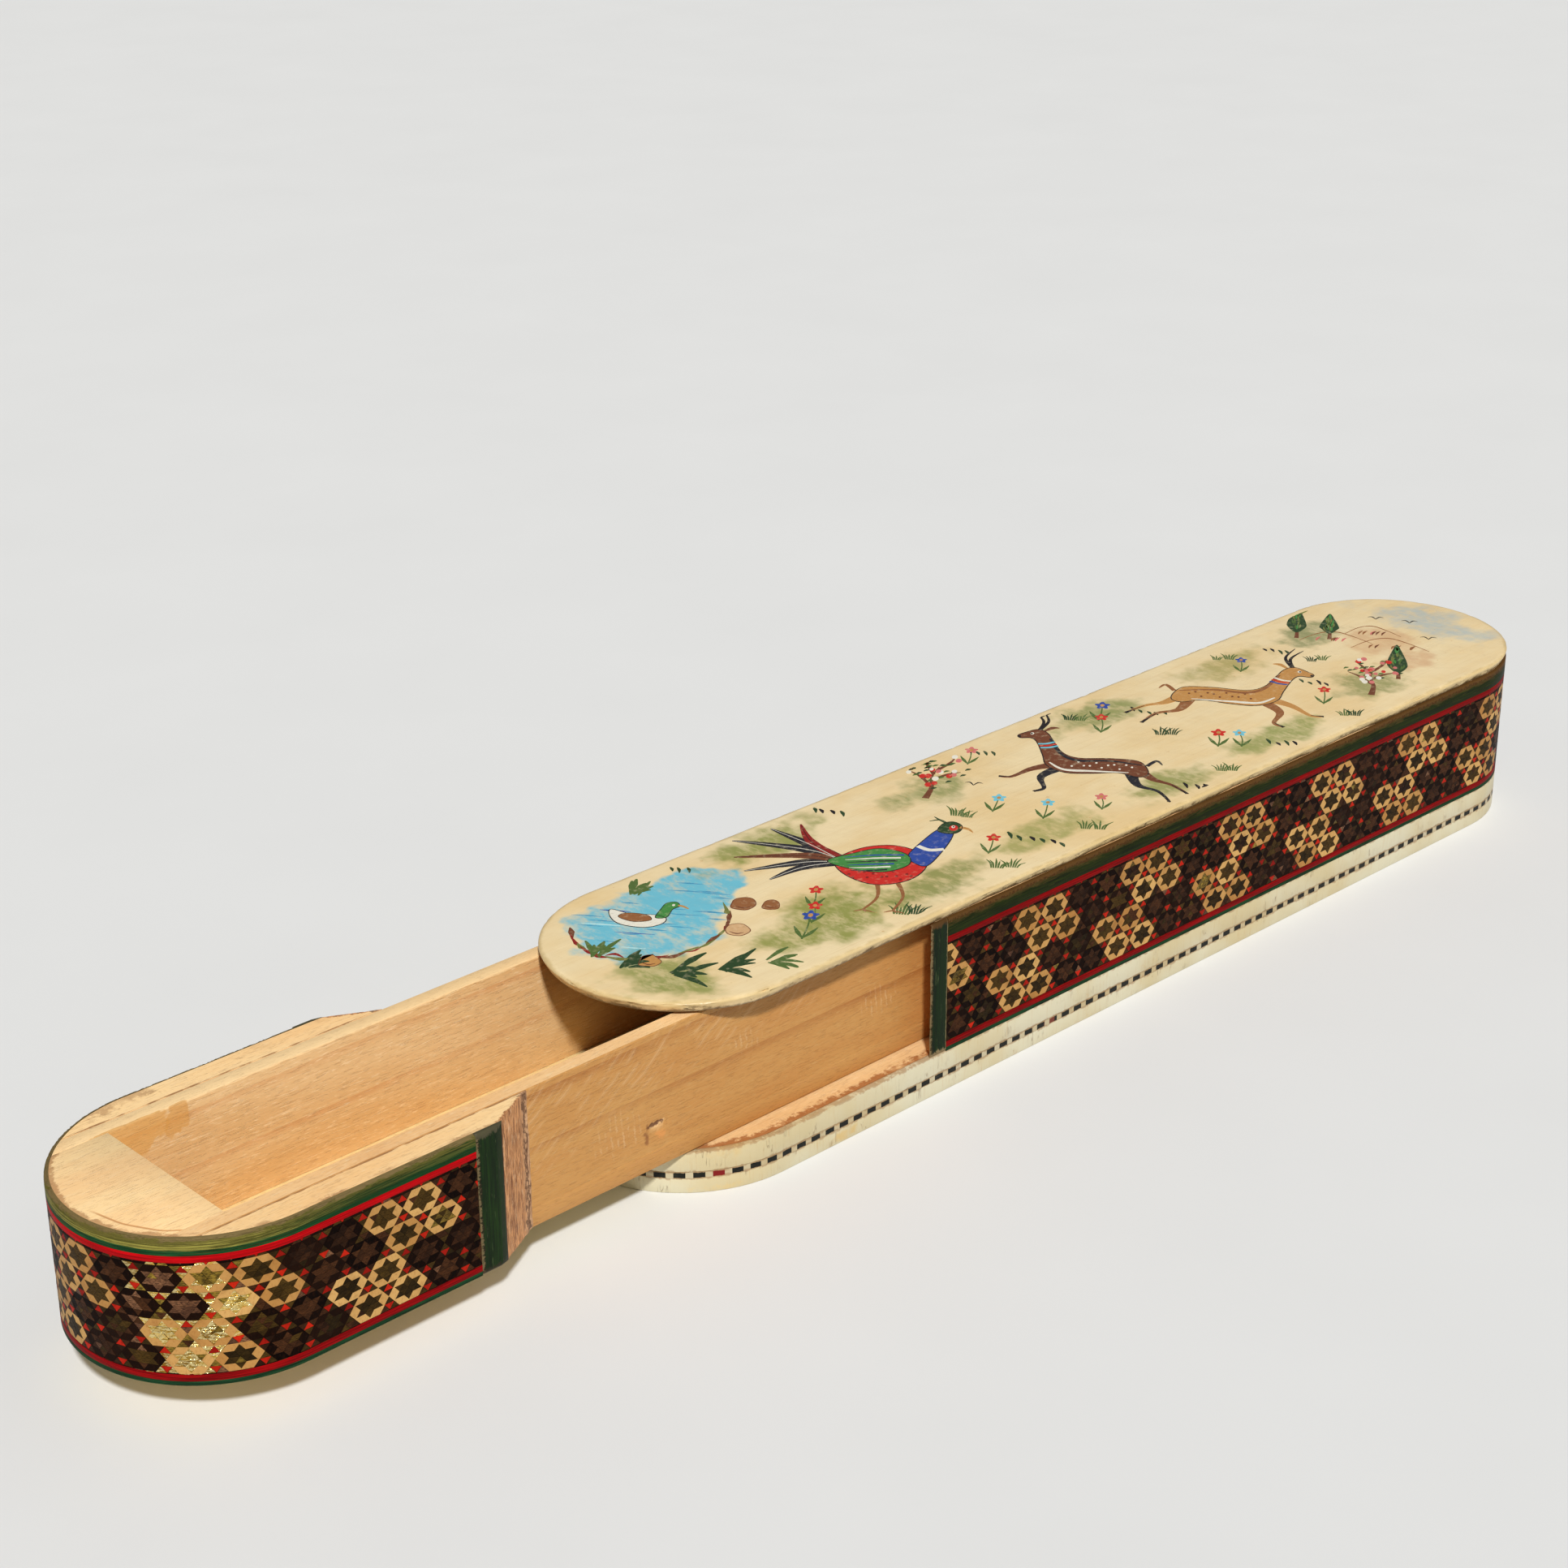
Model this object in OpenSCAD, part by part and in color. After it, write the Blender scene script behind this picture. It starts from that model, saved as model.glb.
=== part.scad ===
// Pen box: a drawer with a rounded head that slides in a sleeve faced with marquetry

/* [Sleeve] */
// Length of the base and the top plate
sleeve_l = 232; // [200:1:280]
// Width over the marquetry
sleeve_w = 45; // [42:0.5:56]
// Height of the base slab
base_h = 7.2; // [5:0.1:10]
// Height of the side walls, from the base to the top plate
wall_h = 24; // [20:0.5:32]
// Thickness of the top plate
plate_t = 2; // [1.6:0.1:4]
// Radius of the top plate's worn upper edge
plate_edge_r = 0.7; // [0.3:0.1:1.2]
// How far the base and the top plate run past the mouth
tongue_l = 55.5; // [45:0.5:70]
// Thickness of the wooden side walls
wall_t = 4.3; // [3:0.1:6]
// How far the block in the closed end runs in past the rounding
end_block_leg = 1; // [0.5:0.5:12]

/* [Base edging] */
// Thickness of the bone edging round the base
edge_t = 1.2; // [0.8:0.1:3]
// Height of the bone strip under the row of dashes
edge_low_h = 2.6; // [1.2:0.1:3.5]
// Height of the row of dashes
dash_h = 1.1; // [0.6:0.1:1.8]
// Length of one dash
dash_l = 1.9; // [0.8:0.1:2.3]
// Distance from one dash to the next
dash_pitch = 3.1; // [2.6:0.05:5]

/* [Marquetry] */
// Thickness of the marquetry sheet and its borders
veneer_t = 0.7; // [0.5:0.1:1.6]
// Height of the green band along the top of the sleeve
green_band_h = 3.2; // [1.5:0.1:4]
// Height of the green band along the top of the head
head_band_h = 2.6; // [1.5:0.1:4]
// Height of each red line
red_line_h = 1.1; // [0.4:0.1:1.5]
// Height of the green line along the bottom
green_line_h = 0.7; // [0.4:0.1:1.5]
// Width of the green strips at the mouth
strip_w = 3.9; // [3:0.1:6]
// Width of the green strips at the cheeks' ends
cheek_strip_w = 3.3; // [2.5:0.1:5]

/* [Rosettes] */
// Distance from one rosette to the next in a row
rosette_pitch = 6.65; // [5:0.05:9]
// Rows of rosettes in the marquetry's height
rosette_rows = 4; // [4:2:6]
// Gap between the tips of neighbouring rosettes
rosette_gap = 0.7; // [0.5:0.05:1.2]
// Width of the bone between a star's point and the rosette's edge
ring_w = 0.35; // [0.2:0.05:0.8]
// Distance from the mouth strip to the first whole cluster on the sleeve
sleeve_cluster_u = 19.3; // [5:0.1:25]
// Distance from the cheek strip to the first whole cluster on the head
head_cluster_u = 16.3; // [5:0.1:25]

/* [Drawer] */
// How far the drawer stands out of the sleeve
drawer_out = 88; // [0:1:125]
// Thickness of the head, at its middle
head_t = 15.5; // [12:0.5:20]
// Thickness of the drawer's sides
side_t = 2.8; // [2:0.1:4]
// Thickness of the drawer's floor
floor_t = 3; // [2:0.1:5]
// Thickness of the drawer's back wall
back_t = 4; // [2.5:0.5:8]
// How much longer the inner edge of a cheek is than its outer edge
mitre_l = 9.5; // [4:0.5:12]

/* [Clearances] */
// Gap between the drawer's side and the sleeve's wall
side_clear = 0.3; // [0.2:0.05:0.6]
// Gap under the drawer's floor
floor_clear = 0.3; // [0.2:0.05:0.6]
// Gap over the drawer, under the top plate
top_clear = 0.7; // [0.4:0.05:1.2]
// Gap behind the drawer when it is closed
back_clear = 0.5; // [0.3:0.1:2]
// Gap along the slanted joint when the drawer is closed
mitre_clear = 0.4; // [0.3:0.05:1]
// How far the head's marquetry lies inside the sleeve's
head_set_in = 0.3; // [0:0.1:0.8]

/* [Hidden] */
$fn = 96;
half_l = sleeve_l / 2;
half_w = sleeve_w / 2;
wall_top = base_h + wall_h;
edge_high_z = edge_low_h + dash_h;
wall_total = wall_t + veneer_t;
mouth_x = -half_l + tongue_l;
end_face_x = half_l - half_w - end_block_leg;
straight_l = sleeve_l - sleeve_w;
over = 1;

// The drawer's places are those of the closed drawer
body_half_w = half_w - wall_total - side_clear;
side_in_y = body_half_w - side_t;
drawer_z = base_h + floor_clear;
drawer_h = wall_h - floor_clear - top_clear;
inside_h = drawer_h - floor_t;
head_face_x = -half_l + head_t;
back_x = end_face_x - back_clear;
cheek_end_x = mouth_x - mitre_clear;
head_veneer_in = head_set_in + veneer_t;

// Heights of the marquetry's borders above its lower edge
red_low_z = green_line_h;
field_z = red_low_z + red_line_h;
sleeve_red_z = wall_h - green_band_h - red_line_h;
head_red_z = drawer_h - head_band_h - red_line_h;
sleeve_field_h = sleeve_red_z - field_z;
head_field_h = head_red_z - field_z;

// Straight legs of the two sheets, from their strip to the rounding
sleeve_leg_x = half_l - mouth_x - strip_w;
head_leg_x = cheek_end_x + half_l - cheek_strip_w;

wood = "#c99a62";
dark_wood = "#3a2416";
bone = "#e4d9ba";
green = "#1f3b2a";
red = "#7c2018";
marquetry = "#4a3022";
brass = "#a8883c";

// Shared shapes

// Rounded end with its tip at x = 0, pointing to -X, and straight sides as far as x = leg_x
module end_solid(inset, leg_x, h) {
    translate([half_w, 0, 0]) cylinder(r = half_w - inset, h = h);
    translate([half_w, inset - half_w, 0]) cube([leg_x - half_w, sleeve_w - 2 * inset, h]);
}

// Slab with two rounded ends, inset from the sleeve's outline
module slab(inset, h) {
    both_ends() translate([half_w, 0, 0]) cylinder(r = half_w - inset, h = h);
    translate([-straight_l / 2, inset - half_w, 0]) cube([straight_l, sleeve_w - 2 * inset, h]);
}

// Draws its children at both ends of the sleeve
module both_ends() {
    translate([-half_l, 0, 0]) children();
    mirror([1, 0, 0]) translate([-half_l, 0, 0]) children();
}

// Draws its children on the near side and mirrored on the far side
module both_sides() {
    children();
    mirror([0, 1, 0]) children();
}

// Strip of the sleeve's outline all the way round
module loop_strip(t, h) {
    difference() {
        slab(0, h);
        translate([0, 0, -over]) slab(t, h + 2 * over);
    }
}

// Strip round one end, with straight legs that end at leg_x, inside the outline by inset
module wrap_strip(leg_x, inset, h) {
    difference() {
        end_solid(inset, leg_x, h);
        translate([0, 0, -over]) end_solid(inset + veneer_t, leg_x + over, h + 2 * over);
    }
}

// The same round the sleeve's closed end, from one mouth strip to the other
module sleeve_wrap(z, h) {
    at_sleeve_end(z) wrap_strip(sleeve_leg_x, 0, h);
}

// The same round the drawer's head, from one cheek strip to the other
module head_wrap(z, h) {
    at_head_end(z) wrap_strip(head_leg_x, head_set_in, h);
}

// Draws its children with their tip at the sleeve's closed end, at a height above the base
module at_sleeve_end(z) {
    translate([half_l, 0, base_h + z]) mirror([1, 0, 0]) children();
}

// Draws its children with their tip at the tip of the head, at a height above its lower edge
module at_head_end(z) {
    in_drawer() translate([-half_l, 0, drawer_z + z]) children();
}

// Moves the closed drawer's pieces out to where the drawer stands
module in_drawer() {
    translate([-drawer_out, 0, 0]) children();
}

// Where the slanted joint lies, at a depth inside the sleeve's outer face
function mitre_x(depth) = mitre_l * depth / wall_total;

// Row of pieces round the base, each from start to start + length as a share of its pitch.
// One side and the end that follows it make half the row, and half a turn makes the other half.
module dash_row(start, length) {
    side_count = round(straight_l / dash_pitch);
    step = straight_l / side_count;
    end_count = round(PI * half_w / dash_pitch);
    turn = 180 / end_count;
    for (half = [0, 180]) rotate(half) translate([0, 0, edge_low_h]) {
        for (i = [0 : side_count - 1])
            translate([(i + start) * step - straight_l / 2, -half_w, 0])
                cube([length * step, edge_t, dash_h]);
        for (i = [0 : end_count - 1])
            translate([straight_l / 2, 0, 0]) rotate((i + start) * turn - 90)
                rotate_extrude(angle = length * turn)
                    translate([half_w - edge_t, 0]) square([edge_t, dash_h]);
    }
}

// Rosettes: hexagons whose tips meet along each row, in clusters of four

// Half the height of a rosette in a field of the given height
function rosette_z(field_h) = (field_h / rosette_rows - rosette_gap / 2) / 2;
rosette_x = (rosette_pitch - rosette_gap) / 2;

module rosette_outline(field_h) {
    x = rosette_x;
    z = rosette_z(field_h);
    polygon([[x, 0], [x / 2, z], [-x / 2, z], [-x, 0], [-x / 2, -z], [x / 2, -z]]);
}

// Six points, each towards the middle of an edge of the rosette
module star_outline(field_h) {
    share = 1 - ring_w / rosette_z(field_h);
    x = rosette_x;
    z = rosette_z(field_h);
    points = [[1, 0], [3 / 4, 1 / 2], [1 / 2, 1], [0, 1], [-1 / 2, 1], [-3 / 4, 1 / 2]];
    half = [for (i = [0 : 5]) points[i] * (i % 2 == 0 ? share / 2 : share)];
    polygon([for (turn = [1, -1], p = half) [p[0] * x * turn, p[1] * z * turn]]);
}

// Draws its children at a distance along a wrapped sheet, measured on its outer face
module along_wrap(leg_x, u) {
    leg = leg_x - half_w;
    bend = PI * half_w;
    if (u < leg) translate([leg_x - u, 0, 0]) children();
    else if (u < leg + bend) translate([half_w, 0, 0]) rotate((leg - u) / half_w * 180 / PI) children();
    else translate([half_w + u - leg - bend, 0, 0]) rotate(180) children();
}

// Rods cut through a sheet at every rosette, with a child's outline.
// Clusters take two neighbours from each of two rows, and the lower row of clusters lags by one.
module rosette_rods(leg_x, field_h, first_u, turn) {
    row_h = field_h / rosette_rows;
    span = 2 * (leg_x - half_w) + PI * half_w;
    columns = ceil(span / rosette_pitch) + 1;
    for (row = [0 : rosette_rows - 1], column = [-columns : columns]) {
        place = first_u + turn * rosette_pitch * (column + (row % 2) / 2);
        member = (column + (row % 4 < 2 ? 0 : 1) + 4 * columns) % 4;
        if (member < 2 && place > rosette_x && place < span - rosette_x)
            along_wrap(leg_x, place)
                translate([0, veneer_t + over - half_w, field_h - (row + 0.5) * row_h])
                    rotate([90, 0, 0]) linear_extrude(veneer_t + 2 * over) children();
    }
}

module sleeve_rods() {
    rosette_rods(sleeve_leg_x, sleeve_field_h, sleeve_cluster_u, 1) children();
}

module head_rods() {
    rosette_rods(head_leg_x, head_field_h, head_cluster_u, -1) children();
}

// Base of the sleeve

module base_core() {
    color(wood) slab(edge_t, base_h);
}

module base_edge_lower() {
    color(bone) loop_strip(edge_t, edge_low_h);
}

module base_edge_upper() {
    color(bone) translate([0, 0, edge_high_z]) loop_strip(edge_t, base_h - edge_high_z);
}

module base_dashes() {
    color(dark_wood) dash_row(0, dash_l / dash_pitch);
}

module base_dash_squares() {
    color(bone) dash_row(dash_l / dash_pitch, 1 - dash_l / dash_pitch);
}

// Walls of the sleeve

module side_wall() {
    outer_y = veneer_t - half_w;
    inner_y = wall_total - half_w;
    translate([0, 0, base_h]) linear_extrude(wall_h) polygon([
        [mouth_x + mitre_x(veneer_t), outer_y], [end_face_x, outer_y],
        [end_face_x, inner_y], [mouth_x + mitre_l, inner_y]
    ]);
}

module near_wall() {
    color(wood) side_wall();
}

module far_wall() {
    color(wood) mirror([0, 1, 0]) side_wall();
}

module end_block() {
    color(wood) translate([half_l, 0, base_h]) mirror([1, 0, 0]) intersection() {
        end_solid(veneer_t, half_w + end_block_leg, wall_h);
        translate([0, -half_w, 0]) cube([half_w + end_block_leg, sleeve_w, wall_h]);
    }
}

// Marquetry of the sleeve

module sleeve_khatam() {
    color(marquetry) at_sleeve_end(field_z) difference() {
        wrap_strip(sleeve_leg_x, 0, sleeve_field_h);
        sleeve_rods() rosette_outline(sleeve_field_h);
    }
}

module sleeve_rosettes() {
    color(bone) at_sleeve_end(field_z) intersection() {
        wrap_strip(sleeve_leg_x, 0, sleeve_field_h);
        sleeve_rods() difference() {
            rosette_outline(sleeve_field_h);
            star_outline(sleeve_field_h);
        }
    }
}

module sleeve_stars() {
    color(brass) at_sleeve_end(field_z) intersection() {
        wrap_strip(sleeve_leg_x, 0, sleeve_field_h);
        sleeve_rods() star_outline(sleeve_field_h);
    }
}

module sleeve_green_band() {
    color(green) sleeve_wrap(wall_h - green_band_h, green_band_h);
}

module sleeve_upper_red() {
    color(red) sleeve_wrap(sleeve_red_z, red_line_h);
}

module sleeve_lower_red() {
    color(red) sleeve_wrap(red_low_z, red_line_h);
}

module sleeve_lower_green() {
    color(green) sleeve_wrap(0, green_line_h);
}

module mouth_strip() {
    translate([0, 0, base_h]) linear_extrude(wall_h) polygon([
        [mouth_x, -half_w], [mouth_x + strip_w, -half_w],
        [mouth_x + strip_w, veneer_t - half_w], [mouth_x + mitre_x(veneer_t), veneer_t - half_w]
    ]);
}

module near_mouth_strip() {
    color(green) mouth_strip();
}

module far_mouth_strip() {
    color(green) mirror([0, 1, 0]) mouth_strip();
}

// Top plate, with a rounded upper edge

// Half of the plate's section, from its middle to the worn edge
module plate_section() {
    square([half_w - plate_edge_r, plate_t]);
    square([half_w, plate_t - plate_edge_r]);
    translate([half_w - plate_edge_r, plate_t - plate_edge_r]) circle(plate_edge_r);
}

module top_plate() {
    color(bone) translate([0, 0, wall_top]) {
        both_ends() translate([half_w, 0, 0]) rotate_extrude() plate_section();
        both_sides() translate([-straight_l / 2, 0, 0])
            rotate([90, 0, 90]) linear_extrude(straight_l) plate_section();
    }
}

// Drawer

// Slice of the drawer from its floor up, cut to the curve under the head's marquetry
module drawer_slice(z, h) {
    translate([-half_l, 0, drawer_z + z]) end_solid(head_veneer_in, back_x + half_l, h);
}

// Board along the drawer, as wide and as long as given, cut to that curve
module drawer_board(y, w, end_x, z, h) {
    intersection() {
        drawer_slice(z, h);
        translate([-half_l, y, drawer_z + z]) cube([end_x + half_l, w, h]);
    }
}

module drawer_floor() {
    color(wood) in_drawer() drawer_board(-body_half_w, 2 * body_half_w, back_x, 0, floor_t);
}

module drawer_near_side() {
    color(wood) in_drawer() drawer_board(-body_half_w, side_t, back_x, floor_t, inside_h);
}

module drawer_far_side() {
    color(wood) in_drawer() drawer_board(side_in_y, side_t, back_x, floor_t, inside_h);
}

module drawer_back() {
    color(wood) in_drawer() translate([back_x - back_t, -side_in_y, drawer_z + floor_t])
        cube([back_t, 2 * side_in_y, inside_h]);
}

// Head of the drawer

module head_block() {
    color(wood) in_drawer() drawer_board(-side_in_y, 2 * side_in_y, head_face_x, floor_t, inside_h);
}

module cheek() {
    depth = half_w - body_half_w;
    intersection() {
        drawer_slice(0, drawer_h);
        translate([0, 0, drawer_z]) linear_extrude(drawer_h) polygon([
            [-half_l, -half_w], [cheek_end_x, -half_w],
            [cheek_end_x + mitre_x(depth), -body_half_w], [-half_l, -body_half_w]
        ]);
    }
}

module near_cheek() {
    color(wood) in_drawer() cheek();
}

module far_cheek() {
    color(wood) in_drawer() mirror([0, 1, 0]) cheek();
}

// Marquetry of the head

module head_khatam() {
    color(marquetry) at_head_end(field_z) difference() {
        wrap_strip(head_leg_x, head_set_in, head_field_h);
        head_rods() rosette_outline(head_field_h);
    }
}

module head_rosettes() {
    color(bone) at_head_end(field_z) intersection() {
        wrap_strip(head_leg_x, head_set_in, head_field_h);
        head_rods() difference() {
            rosette_outline(head_field_h);
            star_outline(head_field_h);
        }
    }
}

module head_stars() {
    color(brass) at_head_end(field_z) intersection() {
        wrap_strip(head_leg_x, head_set_in, head_field_h);
        head_rods() star_outline(head_field_h);
    }
}

module head_green_band() {
    color(green) head_wrap(drawer_h - head_band_h, head_band_h);
}

module head_upper_red() {
    color(red) head_wrap(head_red_z, red_line_h);
}

module head_lower_red() {
    color(red) head_wrap(red_low_z, red_line_h);
}

module head_lower_green() {
    color(green) head_wrap(0, green_line_h);
}

module cheek_strip() {
    start_x = cheek_end_x - cheek_strip_w;
    outer_y = head_set_in - half_w;
    inner_y = head_veneer_in - half_w;
    translate([0, 0, drawer_z]) linear_extrude(drawer_h) polygon([
        [start_x, outer_y], [cheek_end_x + mitre_x(head_set_in), outer_y],
        [cheek_end_x + mitre_x(head_veneer_in), inner_y], [start_x, inner_y]
    ]);
}

module near_cheek_strip() {
    color(green) in_drawer() cheek_strip();
}

module far_cheek_strip() {
    color(green) in_drawer() mirror([0, 1, 0]) cheek_strip();
}

base_core();
base_edge_lower();
base_dashes();
base_dash_squares();
base_edge_upper();
near_wall();
far_wall();
end_block();
sleeve_khatam();
sleeve_rosettes();
sleeve_stars();
sleeve_green_band();
sleeve_upper_red();
sleeve_lower_red();
sleeve_lower_green();
near_mouth_strip();
far_mouth_strip();
top_plate();
drawer_floor();
drawer_near_side();
drawer_far_side();
drawer_back();
head_block();
near_cheek();
far_cheek();
head_khatam();
head_rosettes();
head_stars();
head_green_band();
head_upper_red();
head_lower_red();
head_lower_green();
near_cheek_strip();
far_cheek_strip();
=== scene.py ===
import math
import random

import bmesh
import bpy
from mathutils import Matrix, Vector, noise


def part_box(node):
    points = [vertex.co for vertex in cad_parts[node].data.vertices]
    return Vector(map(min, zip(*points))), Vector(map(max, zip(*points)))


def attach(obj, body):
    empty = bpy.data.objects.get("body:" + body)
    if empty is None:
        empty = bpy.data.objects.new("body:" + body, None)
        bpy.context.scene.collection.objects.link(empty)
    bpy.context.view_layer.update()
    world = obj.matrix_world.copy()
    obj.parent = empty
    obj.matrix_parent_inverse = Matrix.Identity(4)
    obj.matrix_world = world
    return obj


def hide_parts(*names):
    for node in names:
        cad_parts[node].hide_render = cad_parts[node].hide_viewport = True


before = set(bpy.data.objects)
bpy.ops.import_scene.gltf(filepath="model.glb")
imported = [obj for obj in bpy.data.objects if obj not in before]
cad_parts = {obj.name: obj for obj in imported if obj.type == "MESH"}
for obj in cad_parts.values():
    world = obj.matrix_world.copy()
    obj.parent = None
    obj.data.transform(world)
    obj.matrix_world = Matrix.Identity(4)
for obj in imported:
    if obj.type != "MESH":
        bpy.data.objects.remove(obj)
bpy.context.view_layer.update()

scene = bpy.context.scene
mm = 0.001
veneer = 0.7  # mm, thickness of the sheets and strips laid round the box
print("pen box: solids loaded,", len(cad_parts), "nodes")


# Small helpers: colours, boxes, shader steps

def tone(red, green, blue):  # screen colour, 0 to 255, as a linear one
    def linear(part):
        part = part / 255
        return part / 12.92 if part <= 0.04045 else ((part + 0.055) / 1.055) ** 2.4
    return (linear(red), linear(green), linear(blue), 1.0)


def boxOf(node):  # lowest and highest corner in mm
    low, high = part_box(node)
    return Vector(low) / mm, Vector(high) / mm


def wobble(*place):  # smooth random value, about -1 to 1
    return noise.noise(Vector(place))


def plug(tree, socket, value):
    if isinstance(value, bpy.types.NodeSocket):
        tree.links.new(value, socket)
    else:
        socket.default_value = value


def put(tree, kind, plugs, out=0, **settings):
    step = tree.nodes.new("ShaderNode" + kind)
    for key, value in settings.items():
        setattr(step, key, value)
    for key, value in plugs.items():
        plug(tree, step.inputs[key], value)
    return step.outputs[out]


def newFinish(name):
    finish = bpy.data.materials.new(name)
    finish.use_nodes = True
    return finish, finish.node_tree, finish.node_tree.nodes["Principled BSDF"]


def ownPoint(tree):  # the piece's own coordinates, in mm
    point = put(tree, "TexCoord", {}, out="Object")
    return put(tree, "VectorMath", {0: point, "Scale": 1 / mm}, operation="SCALE")


def laidPoint(tree):  # along, height and depth on a strip that is bent round the box
    return put(tree, "Attribute", {}, out="Vector", attribute_name="laid")


def shift(tree, point, by):
    return put(tree, "VectorMath", {0: point, 1: by}, operation="ADD")


def stretch(tree, point, by):
    return put(tree, "VectorMath", {0: point, 1: by}, operation="MULTIPLY")


def cloud(tree, point, scale, detail=3.0, rough=0.55):  # noise, with one scale or one for each axis
    if isinstance(scale, tuple):
        point, scale = stretch(tree, point, scale), 1.0
    plugs = {"Vector": point, "Scale": scale, "Detail": detail, "Roughness": rough}
    return put(tree, "TexNoise", plugs)


def sums(tree, how, first, second=0.0):
    return put(tree, "Math", {0: first, 1: second}, operation=how)


def plus(tree, first, second):
    return sums(tree, "ADD", first, second)


def minus(tree, first, second):
    return sums(tree, "SUBTRACT", first, second)


def times(tree, first, second):
    return sums(tree, "MULTIPLY", first, second)


def unsigned(tree, value):
    return sums(tree, "ABSOLUTE", value)


def fade(tree, value, low, high, start=0.0, end=1.0):
    plugs = {"Value": value, "From Min": low, "From Max": high, "To Min": start, "To Max": end}
    return put(tree, "MapRange", plugs, interpolation_type="SMOOTHSTEP")


def blend(tree, share, first, second, how="MIX"):  # of two colours, each a step or a screen colour
    first, second = (tone(*part) if isinstance(part, tuple) else part for part in (first, second))
    return put(tree, "Mix", {0: share, 6: first, 7: second}, out=2, data_type="RGBA", blend_type=how)


def axes(tree, point):
    step = tree.nodes.new("ShaderNodeSeparateXYZ")
    plug(tree, step.inputs[0], point)
    return step.outputs[0], step.outputs[1], step.outputs[2]


def relief(tree, shader, height, depth):  # depth in mm
    normal = put(tree, "Bump", {"Height": height, "Distance": depth * mm, "Strength": 1.0})
    tree.links.new(normal, shader.inputs["Normal"])


def surface(tree, shader, colour, rough, gloss=0.5):
    plug(tree, shader.inputs["Base Color"], colour)
    plug(tree, shader.inputs["Roughness"], rough)
    plug(tree, shader.inputs["Specular IOR Level"], gloss)


def shaken(tree, value, uneven, by):  # moves an edge to and fro
    return plus(tree, value, fade(tree, uneven, 0.3, 0.7, -by, by))


def fromOval(tree, point, centre, half):  # distance in half sizes; an axis without one doesn't count
    away = shift(tree, point, tuple(-part for part in centre))
    away = stretch(tree, away, tuple(1 / part if part else 0.0 for part in half))
    return put(tree, "VectorMath", {0: away}, out="Value", operation="LENGTH")


def endGap(tree, point, straight, radius, oneEnd=False):  # distance in from a rounded end's rim
    x, y, z = axes(tree, point)
    if oneEnd:
        over = minus(tree, straight, x)
    else:
        over = minus(tree, unsigned(tree, x), straight)
    over = sums(tree, "MAXIMUM", over, 0.0)
    reach = sums(tree, "SQRT", plus(tree, sums(tree, "POWER", over, 2.0), sums(tree, "POWER", y, 2.0)))
    return minus(tree, radius, reach)


# Wood: long growth lines, fine fibres, pores and saw marks, with glue where boards meet

woodLook = {
    "pale": (243, 204, 150), "mid": (233, 184, 126), "line": (208, 148, 92), "fleck": (250, 220, 174),
    "pore": (168, 108, 62), "glue": (136, 78, 34), "crack": (188, 120, 60),
    "dirt": (214, 172, 128), "lineGap": 0.035, "growth": 0.9,
    "rough": (0.5, 0.7), "gloss": 0.3, "relief": 0.055,
}


def stained(tree, colour, point, spot):  # a soft-edged patch
    centre, half, rag, soft, dye, strength = spot  # rag and soft: how fine and how soft its rim is
    away = shaken(tree, fromOval(tree, point, centre, half), cloud(tree, point, rag, 3.0), -0.4)
    return blend(tree, fade(tree, away, 1.0, soft, 0.0, strength), colour, dye)


# Painted shade that darkens the whole outer face, with slanted saw marks and short chatter ripples in
# patches on it
def sawn(tree, point, colour, height, fibre, slow, saw, look):
    x, y, z = axes(tree, point)
    # painted shade: the outer face is made darker than the board's top by the saw's shade colour
    outer = fade(tree, y, saw["face"] + 0.3, saw["face"] + 0.15)
    colour = blend(tree, outer, colour, saw["shade"], "MULTIPLY")
    slant = plus(tree, times(tree, x, -0.6), times(tree, z, 0.8))
    wavy = cloud(tree, stretch(tree, point, (0.5, 1.0, 1.0)), 0.1, 2.0)
    slant = plus(tree, slant, times(tree, wavy, 3.0))
    marks = fade(tree, sums(tree, "SINE", times(tree, slant, 2.9)), 0.7, 1.0)
    fine = fade(tree, sums(tree, "SINE", times(tree, slant, 8.7)), 0.4, 1.0, 0.0, 0.55)
    marks = sums(tree, "MAXIMUM", marks, fine)
    breaks = fade(tree, cloud(tree, stretch(tree, point, (0.5, 1.0, 0.5)), 0.5, 3.0), 0.4, 0.62)
    sloped = minus(tree, z, times(tree, x, saw["slope"]))
    patch = fade(tree, shaken(tree, sloped, slow, 4.0), saw["from"], saw["from"] + 9.0)
    marks = times(tree, times(tree, marks, patch), times(tree, breaks, outer))
    colour = blend(tree, times(tree, marks, 0.15), colour, look["fleck"])
    height = plus(tree, height, times(tree, marks, 0.45))
    for along, high, halfA, halfZ in saw["chatter"]:
        away = fromOval(tree, point, (along, 0.0, high), (halfA, None, halfZ))
        ripple = plus(tree, times(tree, x, 5.6), fade(tree, fibre, 0.2, 0.8, -1.4, 1.4))
        ripple = sums(tree, "SINE", plus(tree, ripple, times(tree, z, 0.5)))
        ripple = times(tree, ripple, times(tree, fade(tree, away, 1.0, 0.3), outer))
        ripple = times(tree, ripple, fade(tree, cloud(tree, point, 0.8, 3.0), 0.35, 0.62))
        colour = blend(tree, fade(tree, ripple, 0.1, 1.0, 0.0, 0.18), colour, look["fleck"])
        colour = blend(tree, fade(tree, ripple, -0.3, -1.0, 0.0, 0.22), colour, look["line"])
        height = plus(tree, height, times(tree, ripple, 0.3))
    return colour, height


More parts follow.
